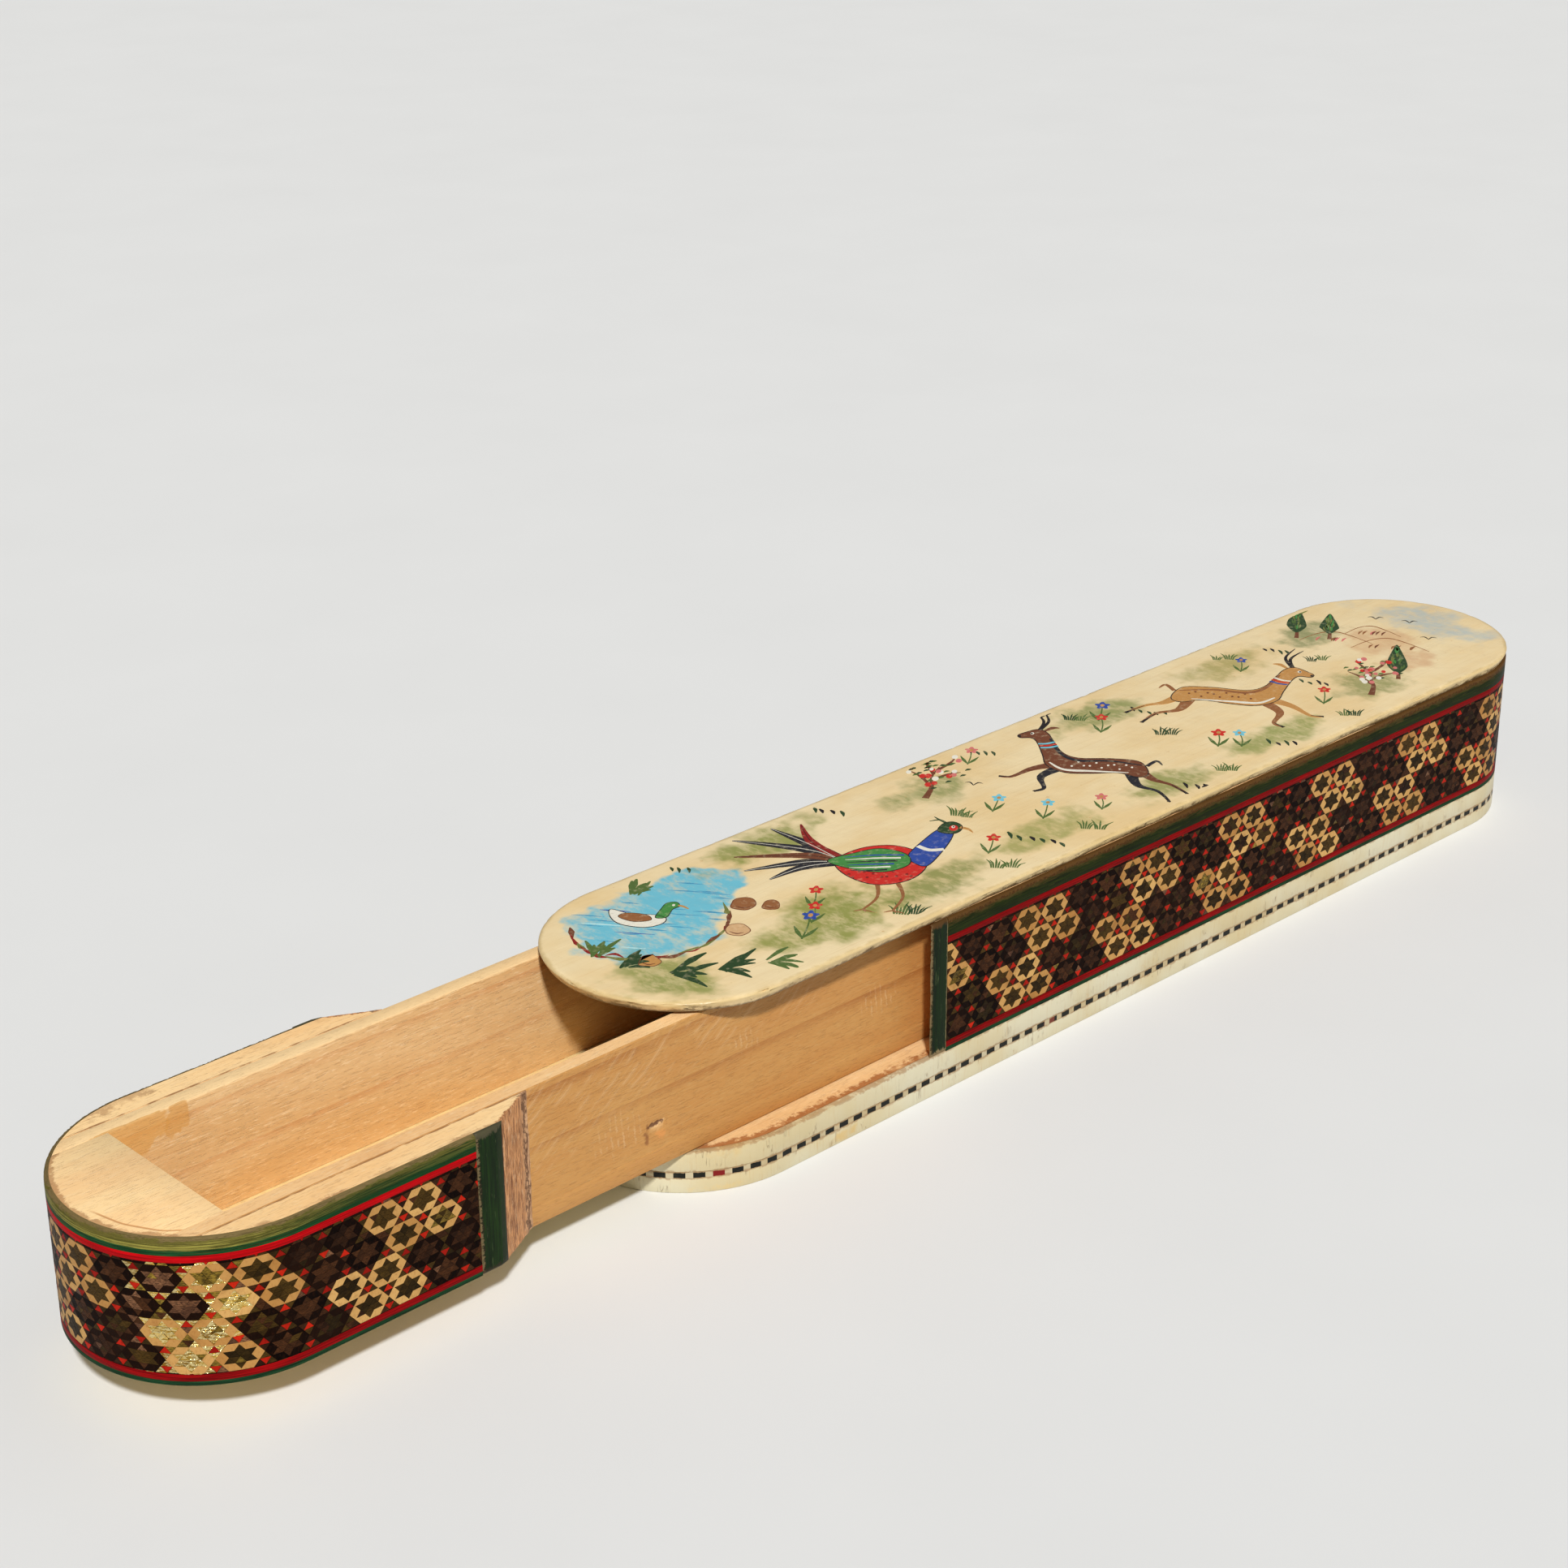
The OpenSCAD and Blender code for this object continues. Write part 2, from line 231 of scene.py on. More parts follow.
def glued(tree, point, colour, height, rim, look):  # old glue squeezed out along a rounded end
    gap = endGap(tree, point, rim["straight"], rim["radius"], rim["oneEnd"])
    if "crack" in rim:  # a thin split that follows the rim in the near half
        wander = shaken(tree, gap, cloud(tree, point, 0.1, 1.0), 0.3)
        crack = fade(tree, unsigned(tree, minus(tree, wander, rim["crack"])), 0.26, 0.08, 0.0, 0.7)
        crack = times(tree, crack, fade(tree, axes(tree, point)[1], -1.0, -4.0))
        colour = blend(tree, crack, colour, look["crack"])
        height = minus(tree, height, crack)
    ragged = cloud(tree, point, 0.7, 4.0, 0.7)
    gap = plus(tree, gap, fade(tree, ragged, 0.25, 0.75, -rim["ragged"], rim["ragged"]))
    stain = fade(tree, gap, rim["reach"], rim["reach"] * 0.3)
    patchy = fade(tree, cloud(tree, point, rim["patch"], 2.0), rim["spare"], rim["spare"] + 0.2)
    stain = times(tree, stain, patchy)
    colour = blend(tree, times(tree, stain, rim["strength"]), colour, look["glue"])
    height = plus(tree, height, times(tree, stain, 0.6))
    return colour, height


def bareWood(name, seed, rim=None, saw=None, look=woodLook, spots=(), joints=()):
    finish, tree, shader = newFinish(name)
    point = ownPoint(tree)
    moved = shift(tree, point, (seed * 17.0, seed * 5.3, seed * 9.1))
    slow = cloud(tree, moved, (0.02, 0.1, 0.1), 3.0, 0.6)
    colour = blend(tree, fade(tree, slow, 0.3, 0.7), look["pale"], look["mid"])
    bands = put(tree, "TexWave", {
        "Vector": stretch(tree, moved, (0.03, 0.8, 1.0)), "Scale": look["lineGap"], "Distortion": 9.0,
        "Detail": 3.0, "Detail Scale": 0.5,
    }, out=1, bands_direction="Z", wave_profile="SAW")
    growth = times(tree, fade(tree, bands, 0.8, 1.0), fade(tree, slow, 0.35, 0.7, 0.3, look["growth"]))
    colour = blend(tree, growth, colour, look["line"])
    fibre = cloud(tree, moved, (0.11, 4.5, 4.5), 4.0, 0.65)
    colour = blend(tree, fade(tree, fibre, 0.54, 0.78, 0.0, 0.4), colour, look["line"])
    colour = blend(tree, fade(tree, fibre, 0.46, 0.24, 0.0, 0.5), colour, look["fleck"])
    pits = fade(tree, cloud(tree, moved, (0.5, 9.0, 9.0), 2.0), 0.58, 0.7)
    colour = blend(tree, times(tree, pits, 0.2), colour, look["pore"])
    specks = fade(tree, cloud(tree, moved, (0.6, 5.0, 5.0), 3.0), 0.56, 0.7)
    colour = blend(tree, times(tree, specks, 0.5), colour, look["fleck"])
    height = minus(tree, times(tree, fibre, 0.5), times(tree, pits, 0.5))
    if saw:
        colour, height = sawn(tree, point, colour, height, fibre, slow, saw, look)
    for spot in spots:
        colour = stained(tree, colour, point, spot)
    for joint in joints:  # thin dark lines where boards meet
        away = unsigned(tree, minus(tree, unsigned(tree, axes(tree, point)[1]), joint))
        away = plus(tree, away, fade(tree, cloud(tree, point, 0.3, 4.0), 0.3, 0.7, -0.08, 0.16))
        colour = blend(tree, fade(tree, away, 0.22, 0.05, 0.0, 0.8), colour, look["glue"])
    if rim:
        colour, height = glued(tree, point, colour, height, rim, look)
    dirt = fade(tree, cloud(tree, moved, 0.11, 4.0, 0.65), 0.55, 0.8, 0.0, 0.16)
    colour = blend(tree, dirt, colour, look["dirt"], "MULTIPLY")
    surface(tree, shader, colour, fade(tree, fibre, 0.3, 0.7, *look["rough"]), look["gloss"])
    relief(tree, shader, height, look["relief"])
    return finish


# Bone: cream, with yellow stains, thin cracks across the strip and dark seams

boneLook = {
    "clean": (208, 200, 170), "warm": (200, 184, 142), "stain": (190, 152, 94), "crack": (150, 108, 64),
    "rough": (0.28, 0.48), "gloss": 0.5, "relief": 0.08, "seam": 0.3,
}


def edgingBone(name, seed, seams=(), look=boneLook, spots=()):
    finish, tree, shader = newFinish(name)
    point = shift(tree, ownPoint(tree), (seed * 7.0, seed * 3.0, 0.0))
    slow = cloud(tree, point, 0.05, 3.0)
    colour = blend(tree, fade(tree, slow, 0.38, 0.66), look["clean"], look["warm"])
    streak = cloud(tree, point, (2.6, 2.6, 0.22), 4.0, 0.6)
    colour = blend(tree, fade(tree, streak, 0.54, 0.8, 0.0, 0.45), colour, look["stain"])
    for spot in spots:
        colour = stained(tree, colour, ownPoint(tree), spot)
    blot = fade(tree, cloud(tree, point, 0.16, 5.0, 0.7), 0.58, 0.76, 0.0, 0.6)
    colour = blend(tree, blot, colour, look["stain"])
    crackNoise = cloud(tree, point, (1.1, 1.1, 0.1), 3.0, 0.5)
    crack = fade(tree, unsigned(tree, minus(tree, crackNoise, 0.5)), 0.01, 0.003)
    crack = times(tree, crack, fade(tree, cloud(tree, point, 0.3, 2.0), 0.54, 0.68))
    colour = blend(tree, times(tree, crack, 0.45), colour, look["crack"])
    x, y, z = axes(tree, ownPoint(tree))
    for seam in seams:  # dirt and glue in the joints with the dash row and the boards
        near = unsigned(tree, minus(tree, z, seam))
        near = plus(tree, near, fade(tree, cloud(tree, point, 0.9, 3.0), 0.3, 0.7, 0.25, -0.2))
        colour = blend(tree, fade(tree, near, look["seam"], 0.02, 0.0, 0.55), colour, look["crack"])
    surface(tree, shader, colour, fade(tree, slow, 0.3, 0.7, *look["rough"]), look["gloss"])
    height = plus(tree, times(tree, streak, 0.5), cloud(tree, point, 0.5, 2.0))
    relief(tree, shader, minus(tree, height, crack), look["relief"])
    return finish


# Strips and bands of stained wood

def bandFinish(name, look):
    finish, tree, shader = newFinish(name)
    point = laidPoint(tree) if look["laid"] else ownPoint(tree)
    fibre = cloud(tree, point, look["grain"], 4.0, 0.65)
    colour = blend(tree, fade(tree, fibre, 0.35, 0.7), look["deep"], look["body"])
    slow = cloud(tree, point, 0.12, 3.0)
    colour = blend(tree, fade(tree, slow, 0.5, 0.75, 0.0, 0.5), colour, look["deep"])
    scuffs = cloud(tree, point, look["scuffGrain"], 3.0, 0.6)
    scuff = fade(tree, scuffs, look["scuffFrom"], look["scuffFrom"] + 0.08, 0.0, look["scuff"])
    colour = blend(tree, scuff, colour, look["scuffTone"])
    along, high, deep = axes(tree, point)
    aside = unsigned(tree, minus(tree, along, look.get("middle", 0.0)))  # away from the middle of the bend
    height = times(tree, fibre, 0.5)
    for worn in look["worn"]:  # each: axis, from, to, ragged by, colour, strength
        place = (along, high, deep, aside)[worn["axis"]]
        if worn["axis"] == 1 and not look["laid"]:
            place = deep
        rag = fade(tree, cloud(tree, point, worn["grain"], 4.0, 0.7), 0.25, 0.75, -1.0, 1.0)
        place = plus(tree, place, times(tree, rag, worn["ragged"]))
        share = fade(tree, place, worn["start"], worn["end"])
        colour = blend(tree, times(tree, share, worn["strength"]), colour, worn["tone"])
        height = minus(tree, height, times(tree, share, worn["cut"]))
    surface(tree, shader, colour, fade(tree, fibre, 0.3, 0.7, *look["rough"]), look["gloss"])
    relief(tree, shader, height, look["relief"])
    return finish


# Pieces of the marquetry, sawn flat and lacquered

tileLook = {  # grain, where the flecks end, relief
    "wood": ((2.6, 1.4, 1.0), 0.75, 0.02), "metal": ((1.6, 8.0, 1.0), 0.56, 0.03),
    "bright": ((0.9, 3.2, 1.0), 0.56, 0.22),  # hammered by wear, so that each bit glints for itself
    "grime": (150, 118, 84),
}


def tileFinish(name, look):
    dark, light, fleck, mottle, rough, metal, gloss = look
    streaky, edge, depth = tileLook["bright" if metal > 0.8 else "metal" if metal else "wood"]
    finish, tree, shader = newFinish(name)
    point = laidPoint(tree)
    tint = put(tree, "Attribute", {}, out="Fac", attribute_name="tint")
    colour = blend(tree, tint, dark, light)
    grain = cloud(tree, point, streaky, 3.0, 0.65)
    colour = blend(tree, fade(tree, grain, 0.45, edge, 0.0, mottle), colour, fleck)
    grime = fade(tree, cloud(tree, point, 0.22, 3.0), 0.5, 0.75, 0.0, 0.4)
    colour = blend(tree, grime, colour, tileLook["grime"], "MULTIPLY")
    surface(tree, shader, colour, fade(tree, grain, 0.3, 0.7, *rough), gloss)
    shader.inputs["Metallic"].default_value = metal
    relief(tree, shader, grain, depth)
    return finish


print("pen box: finishes ready")


# Mesh helpers, in mm

def makePiece(name, points, faces, body, finishes, replaced, slot,
              marks=None, kinds=None, laid=None, crease=32):
    mesh = bpy.data.meshes.new(name)
    mesh.from_pydata([(p[0] * mm, p[1] * mm, p[2] * mm) for p in points], [], faces)
    for finish in finishes:
        mesh.materials.append(finish)
    if kinds:
        mesh.polygons.foreach_set("material_index", kinds)
    if marks:
        mesh.attributes.new("tint", "FLOAT", "FACE").data.foreach_set("value", marks)
    if laid:
        flat = [part for place in laid for part in place]
        mesh.attributes.new("laid", "FLOAT_VECTOR", "POINT").data.foreach_set("vector", flat)
    work = bmesh.new()
    work.from_mesh(mesh)
    bmesh.ops.recalc_face_normals(work, faces=work.faces)
    work.to_mesh(mesh)
    work.free()
    mesh.polygons.foreach_set("use_smooth", [True] * len(mesh.polygons))
    mesh.set_sharp_from_angle(angle=math.radians(crease))
    mesh.update()
    piece = bpy.data.objects.new(name, mesh)
    scene.collection.objects.link(piece)
    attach(piece, body)
    if replaced:
        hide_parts(*replaced)
    return piece


def loft(rings):  # closed rings of equal count, joined in order and capped
    count = len(rings[0])
    points = [p for ring in rings for p in ring]
    faces = []
    for row in range(len(rings) - 1):
        for i in range(count):
            j = (i + 1) % count
            here, there = row * count, (row + 1) * count
            faces.append((here + i, here + j, there + j, there + i))
    faces.append(tuple(range(count))[::-1])
    faces.append(tuple(range((len(rings) - 1) * count, len(rings) * count)))
    return points, faces


easing = {"merge": 1e-6, "flat": math.radians(0.6), "sharp": math.radians(40), "steps": 2}


def softBoard(node, name, width, body, finish, slot):  # the solid with its sharp edges eased
    work = bmesh.new()
    work.from_mesh(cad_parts[node].data)
    bmesh.ops.remove_doubles(work, verts=work.verts, dist=easing["merge"])
    bmesh.ops.dissolve_limit(work, angle_limit=easing["flat"], verts=work.verts, edges=work.edges)
    sharp = [edge for edge in work.edges if edge.is_manifold and edge.calc_face_angle() > easing["sharp"]]
    bmesh.ops.bevel(work, geom=sharp, affect="EDGES", offset=width * mm, offset_type="OFFSET",
                    segments=easing["steps"], profile=0.5, clamp_overlap=True)
    work.verts.index_update()
    points = [tuple(v.co / mm) for v in work.verts]
    faces = [tuple(v.index for v in face.verts) for face in work.faces]
    work.free()
    return makePiece(name, points, faces, body, [finish], [node], slot)


def dress(node, finish):  # a solid whose shape stays gets its finish
    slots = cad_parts[node].data.materials
    slots.clear()
    slots.append(finish)


# How strips lie round the box: along the near side, round the end, back along the far side

plateHigh = boxOf("top_plate")[1]
headLow, headHigh = boxOf("head_khatam")
sleeveWrap = {"centre": plateHigh.x - plateHigh.y, "radius": plateHigh.y, "turn": 1}
headWrap = {"centre": headLow.x + headHigh.y, "radius": headHigh.y, "turn": -1}


def wrapped(wrap, along, high, deep):
    centre, radius, turn = wrap["centre"], wrap["radius"], wrap["turn"]
    half = math.pi * radius
    if along <= 0:
        return (centre + turn * along, -(radius - deep), high)
    if along < half:
        angle = along / radius
        return (centre + turn * (radius - deep) * math.sin(angle), -(radius - deep) * math.cos(angle), high)
    return (centre - turn * (along - half), radius - deep, high)


def wrapStart(wrap, node):  # where a strip's near leg begins, from its box
    low, high = boxOf(node)
    return -(wrap["centre"] - low.x) if wrap["turn"] > 0 else -(high.x - wrap["centre"])


def bentStrip(name, wrap, start, profile, body, finish, replaced, slot, step=0.6, rough=0.0, seed=0.0):
    total = 2 * -start + math.pi * wrap["radius"]
    count = int(total / step)
    rings, laid = [], []
    for i in range(count + 1):
        along = start + total * i / count
        ring = []
        for k, (high, deep, loose) in enumerate(profile):
            shake = wobble(along * 0.9, seed, k * 3.1) + 0.6 * wobble(along * 3.7, seed + 4, k * 1.7)
            shake *= loose * rough
            place = (along, high - abs(shake), max(deep + 0.4 * shake, 0.0) if loose else deep)
            laid.append(place)
            ring.append(wrapped(wrap, *place))
        rings.append(ring)
    points, faces = loft(rings)
    return makePiece(name, points, faces, body, [finish], replaced, slot, laid=laid)


# Base: wooden core, bone edging in two strips, and the row of dashes between them

baseSettings = {
    "edgeSoft": 0.16,
    "dash": {"deep": (11, 13, 10), "body": (32, 34, 26), "scratch": (88, 84, 70), "worn": (178, 148, 108),
             "rough": (0.4, 0.6), "gloss": 0.2, "relief": 0.02, "reach": (1.35, 1.25)},
    "dyedDashes": (((-104.37, -19.7, 0.0), (120, 18, 18)), ((-31.2, -22.5, 0.0), (112, 52, 38))),
}


def dashFinish(settings):
    look = settings["dash"]
    finish, tree, shader = newFinish("blackDash")
    point = ownPoint(tree)
    grain = cloud(tree, point, (0.8, 0.8, 4.0), 3.0)
    colour = blend(tree, fade(tree, grain, 0.4, 0.75), look["deep"], look["body"])
    scratch = fade(tree, cloud(tree, point, (0.5, 0.5, 9.0), 2.0), 0.66, 0.72, 0.0, 0.5)
    colour = blend(tree, scratch, colour, look["scratch"])
    flat = stretch(tree, point, (1.0, 1.0, 0.0))
    for place, dye in settings["dyedDashes"]:
        away = put(tree, "VectorMath", {0: flat, 1: place}, out="Value", operation="DISTANCE")
        colour = blend(tree, fade(tree, away, *look["reach"]), colour, dye)
    low, high = boxOf("base_dashes")
    away = unsigned(tree, minus(tree, axes(tree, point)[2], (low.z + high.z) / 2))
    away = shaken(tree, away, cloud(tree, point, 1.6, 3.0), 0.05)
    half = (high.z - low.z) / 2
    worn = fade(tree, away, half - 0.13, half - 0.06, 0.0, 0.85)
    colour = blend(tree, worn, colour, look["worn"])  # edges rubbed down to the bone
    surface(tree, shader, colour, fade(tree, grain, 0.3, 0.7, *look["rough"]), look["gloss"])
    relief(tree, shader, grain, look["relief"])
    return finish


lowStrip, highStrip = boxOf("base_edge_lower"), boxOf("base_edge_upper")
coreHigh = boxOf("base_core")[1]
baseSeams = (lowStrip[1].z, highStrip[0].z)
edgeSpots = (  # centre, half sizes, how fine and how soft the rim is, colour, strength
    ((-99.0, -19.0, 7.0), (7.0, 3.0, 1.6), 0.3, 0.3, (212, 176, 106), 0.45),
    ((-80.0, -22.5, 1.2), (4.0, 2.0, 1.3), 0.7, 0.1, (206, 166, 84), 0.6),
    ((-103.0, -18.0, 0.6), (6.0, 4.0, 0.9), 0.7, 0.1, (216, 186, 120), 0.5),
)
edgeFinish = edgingBone("edgingBone", 1.0, baseSeams + (highStrip[1].z,), spots=edgeSpots)
for node, name in (("base_edge_lower", "lowerBoneStrip"), ("base_edge_upper", "upperBoneStrip")):
    softBoard(node, name, baseSettings["edgeSoft"], "sleeve", edgeFinish, "edging_bone")
dress("base_dashes", dashFinish(baseSettings))
squareLook = {**boneLook, "clean": (190, 178, 146), "warm": (184, 164, 122)}
dress("base_dash_squares", edgingBone("boneSquares", 4.0, baseSeams, squareLook))
tongueGlue = {
    "straight": coreHigh.x - coreHigh.y, "radius": coreHigh.y, "oneEnd": False,
    "reach": 1.6, "ragged": 0.95, "patch": 0.2, "spare": 0.22, "strength": 0.85,
}
coreLook = {**woodLook, "pale": (235, 199, 146), "mid": (227, 183, 126), "glue": (158, 90, 36)}
dress("base_core", bareWood("coreWood", 1.0, rim=tongueGlue, look=coreLook))
print("pen box: base done")


# Sleeve walls and drawer boards

headGlue = {
    "straight": headWrap["centre"], "radius": headWrap["radius"] - veneer, "oneEnd": True,
    "reach": 0.8, "ragged": 0.5, "patch": 0.16, "spare": 0.46, "strength": 0.6,
}
floorLow, floorHigh = boxOf("drawer_floor")
farSideHigh = boxOf("drawer_far_side")[1]
# The floor's far edge, seen under the far side, and the planed top edge of that side
floorEdge = ((-90.0, floorHigh.y, 9.0), (400.0, 0.35, 40.0), 0.3, 0.6, (224, 181, 125), 0.8)
farTop = ((-90.0, 15.8, farSideHigh.z), (400.0, 40.0, 0.35), 0.3, 0.6, (255, 220, 164), 0.7)
floorLook = {**woodLook, "pale": (245, 223, 160), "mid": (239, 209, 144)}
# the floor saw's shade is painted shade on the floor's outer edge, matched to the near side
floorSaw = {"face": floorLow.y, "slope": 0.22, "from": 90.0, "shade": (203, 165, 132), "chatter": ()}
glueDrip = (((-184.0, 14.4, 29.0), (7.0, 0.4, 3.4), 0.25, 0.8, (214, 158, 84), 0.75),
            ((-177.6, 14.4, 28.6), (1.8, 0.4, 3.6), 0.3, 0.8, (210, 152, 78), 0.7))
farSideLook = {**woodLook, "pale": (230, 191, 137), "mid": (218, 172, 114)}
headLook = {**woodLook, "pale": (254, 220, 162), "mid": (248, 204, 146), "glue": (154, 96, 46)}
wallFinish = bareWood("wallWood", 3.0)
boardFinish = bareWood("drawerWood", 5.0, rim=headGlue)
floorFinish = bareWood("drawerFloorWood", 5.6, headGlue, floorSaw, floorLook, spots=(floorEdge,))
farSideFinish = bareWood("farSideWood", 7.0, rim=headGlue, look=farSideLook, spots=(farTop,) + glueDrip)
headFinish = bareWood("headWood", 8.0, rim={**headGlue, "spare": 0.3, "crack": 1.5}, look=headLook)
boards = (  # solid, piece, how far its edges are eased, body, finish, slot
    ("near_wall", "nearWall", 0.12, "sleeve", wallFinish, "pale_wood"),
    ("far_wall", "farWall", 0.12, "sleeve", wallFinish, "pale_wood"),
    ("end_block", "endBlock", 0.12, "sleeve", wallFinish, "pale_wood"),
    ("drawer_floor", "drawerFloor", 0.03, "drawer", floorFinish, "drawer_wood"),
    ("drawer_far_side", "drawerFarSide", 0.15, "drawer", farSideFinish, "drawer_wood"),
    ("drawer_back", "drawerBack", 0.15, "drawer", boardFinish, "drawer_wood"),
    ("head_block", "headBlock", 0.1, "drawer", headFinish, "drawer_wood"),
)
for board in boards:
    softBoard(*board)


# Near side of the drawer, with its dent and a slightly uneven face

nearSideSettings = {
    "dent": (-114.4, 13.6), "dentSize": (2.4, 2.1), "dentDepth": 0.36, "dentBrow": 0.75,
    "uneven": 0.07, "step": 0.5, "rows": 44, "soft": 0.2, "foot": 0.03,
    "look": {**woodLook, "pale": (250, 208, 150), "mid": (242, 191, 131)},
    # the saw's shade is painted shade that darkens the outer face
    "saw": {"face": boxOf("drawer_near_side")[0].y, "slope": 0.22, "from": 41.0, "shade": (200, 179, 143),
            "chatter": ((-122.0, 16.0, 8.0, 6.0), (-67.0, 18.5, 6.5, 4.0), (-96.0, 22.0, 5.0, 3.0))},
    # on the dent: a dark band under its sharp upper brow is painted shadow; then an orange patch of torn
    # wood and a brown mark at its left
    "spots": (((-114.9, -17.2, 15.0), (2.3, 1.4, 0.65), 1.3, 0.3, (96, 52, 26), 0.9),
              ((-113.8, -17.2, 12.8), (1.4, 1.4, 1.3), 1.0, 0.1, (226, 148, 78), 0.5),
              ((-116.6, -17.2, 13.6), (0.6, 1.2, 1.8), 1.0, 0.3, (128, 74, 38), 0.7)),
}


def nearSide(settings):
    low, high = boxOf("drawer_near_side")
    radius, brow = headWrap["radius"] - veneer, settings["dentBrow"]
    soft, foot, rows = settings["soft"], settings["foot"], settings["rows"]
    rings = []
    count = int((high.x - low.x) / settings["step"])
    for i in range(count + 1):
        x = low.x + (high.x - low.x) * i / count
        ring = []
        for k in range(rows + 1):  # outer face, from the floor up
            z = low.z + foot + (high.z - low.z - soft - foot) * k / rows
            deep = settings["uneven"] * (0.5 + 0.5 * wobble(x * 0.06, z * 0.14, 2.0))
            ragged = 1 + 0.35 * wobble(x * 1.3, z * 1.3, 9.0)
            awayX = (x - settings["dent"][0]) / settings["dentSize"][0] * ragged
            awayZ = (z - settings["dent"][1]) / settings["dentSize"][1] * ragged
            if abs(awayX) < 1 and abs(awayZ) < 1:  # a torn knot: slopes in from below, sharp above
                across = (1 - awayX * awayX) ** 0.8
                rise = (awayZ + 1) / (1 + brow) if awayZ < brow else (1 - awayZ) / (1 - brow)
                splinter = 0.8 + 0.3 * wobble(x * 1.7, z * 1.7, 4.0)
                deep += settings["dentDepth"] * across * max(rise, 0.0) ** 1.3 * splinter
            ring.append((x, low.y + deep, z))
        ring += [(x, low.y + soft, high.z), (x, high.y - foot * 2, high.z), (x, high.y, high.z - foot * 2)]
        ring += [(x, high.y, low.z), (x, low.y + foot, low.z)]
        cut = []
        for (px, py, pz) in ring:  # the head end follows the head's curve
            start = headWrap["centre"] - math.sqrt(max(radius * radius - py * py, 0.0))
            cut.append((max(px, start), py, pz))
        rings.append(cut)
    points, faces = loft(rings)
    finish = bareWood("nearSideWood", 6.0, headGlue, settings["saw"], settings["look"], settings["spots"])
    return makePiece("drawerNearSide", points, faces, "drawer", [finish], ["drawer_near_side"],
                     "drawer_wood")


nearSide(nearSideSettings)


# Cheeks, with torn fibres on their mitred ends

cheekSettings = {
    "slope": 1.9, "rows": 70, "across": 26, "round": 16, "straight": 10, "tear": 0.5, "soft": 0.12,
    "look": {**woodLook, "pale": (255, 217, 158), "mid": (250, 202, 140)},
    "torn": {"deep": (126, 76, 42), "body": (222, 160, 106), "raisedHighlight": (222, 186, 148),
             "creviceShade": (84, 50, 28), "creviceShadeIn": 0.55, "ridge": (18.7, 17.7), "joint": 0.12,
             "soft": (1.5, 0.7)},
    "farGlue": {"reach": 2.2, "ragged": 1.8, "spare": 0.4, "strength": 0.45},
}


def cheek(node, name, side, finish, settings):
    low, high = boxOf(node)
    outer, inner = max(abs(low.y), abs(high.y)), min(abs(low.y), abs(high.y))
    centre, radius = headWrap["centre"], outer
    tip = high.x
    rings = []
    for k in range(settings["rows"] + 1):
        z = low.z + (high.z - low.z) * k / settings["rows"]
        ease = settings["soft"] if k in (0, settings["rows"]) else 0.0
        plan = []
        first = math.asin(inner / radius)
        for i in range(settings["round"] + 1):  # from the inner corner round the curve to the straight side
            angle = first + (math.pi / 2 - first) * i / settings["round"]
            plan.append((centre - (radius - ease) * math.cos(angle), (radius - ease) * math.sin(angle)))
        corner = tip - settings["slope"] * (outer - inner)
        for i in range(1, settings["straight"]):
            plan.append((centre + (corner - centre) * i / settings["straight"], outer - ease))
        for i in range(settings["across"] + 1):
            share = i / settings["across"]
            y = outer - ease - (outer - ease - inner) * share
            x = tip - settings["slope"] * (y - inner)
            ridge = abs(wobble(y * 3.4, z * 0.16, side * 5.0))
            ridge += 0.5 * abs(wobble(y * 8.0, z * 0.4, side * 9.0))
            ridge += 0.4 * max(wobble(y * 1.2, z * 0.9, side * 2.0), 0.0)
            x -= settings["tear"] * ridge * (1.0 if 0 < i < settings["across"] else 0.5) + ease
            plan.append((x, y))
        plan.append((centre - radius * math.cos(first) + 2.0, inner))
        rings.append([(x, side * y, z) for (x, y) in plan])
    points, faces = loft(rings)
    return makePiece(name, points, faces, "drawer", [finish], [node], "drawer_wood")


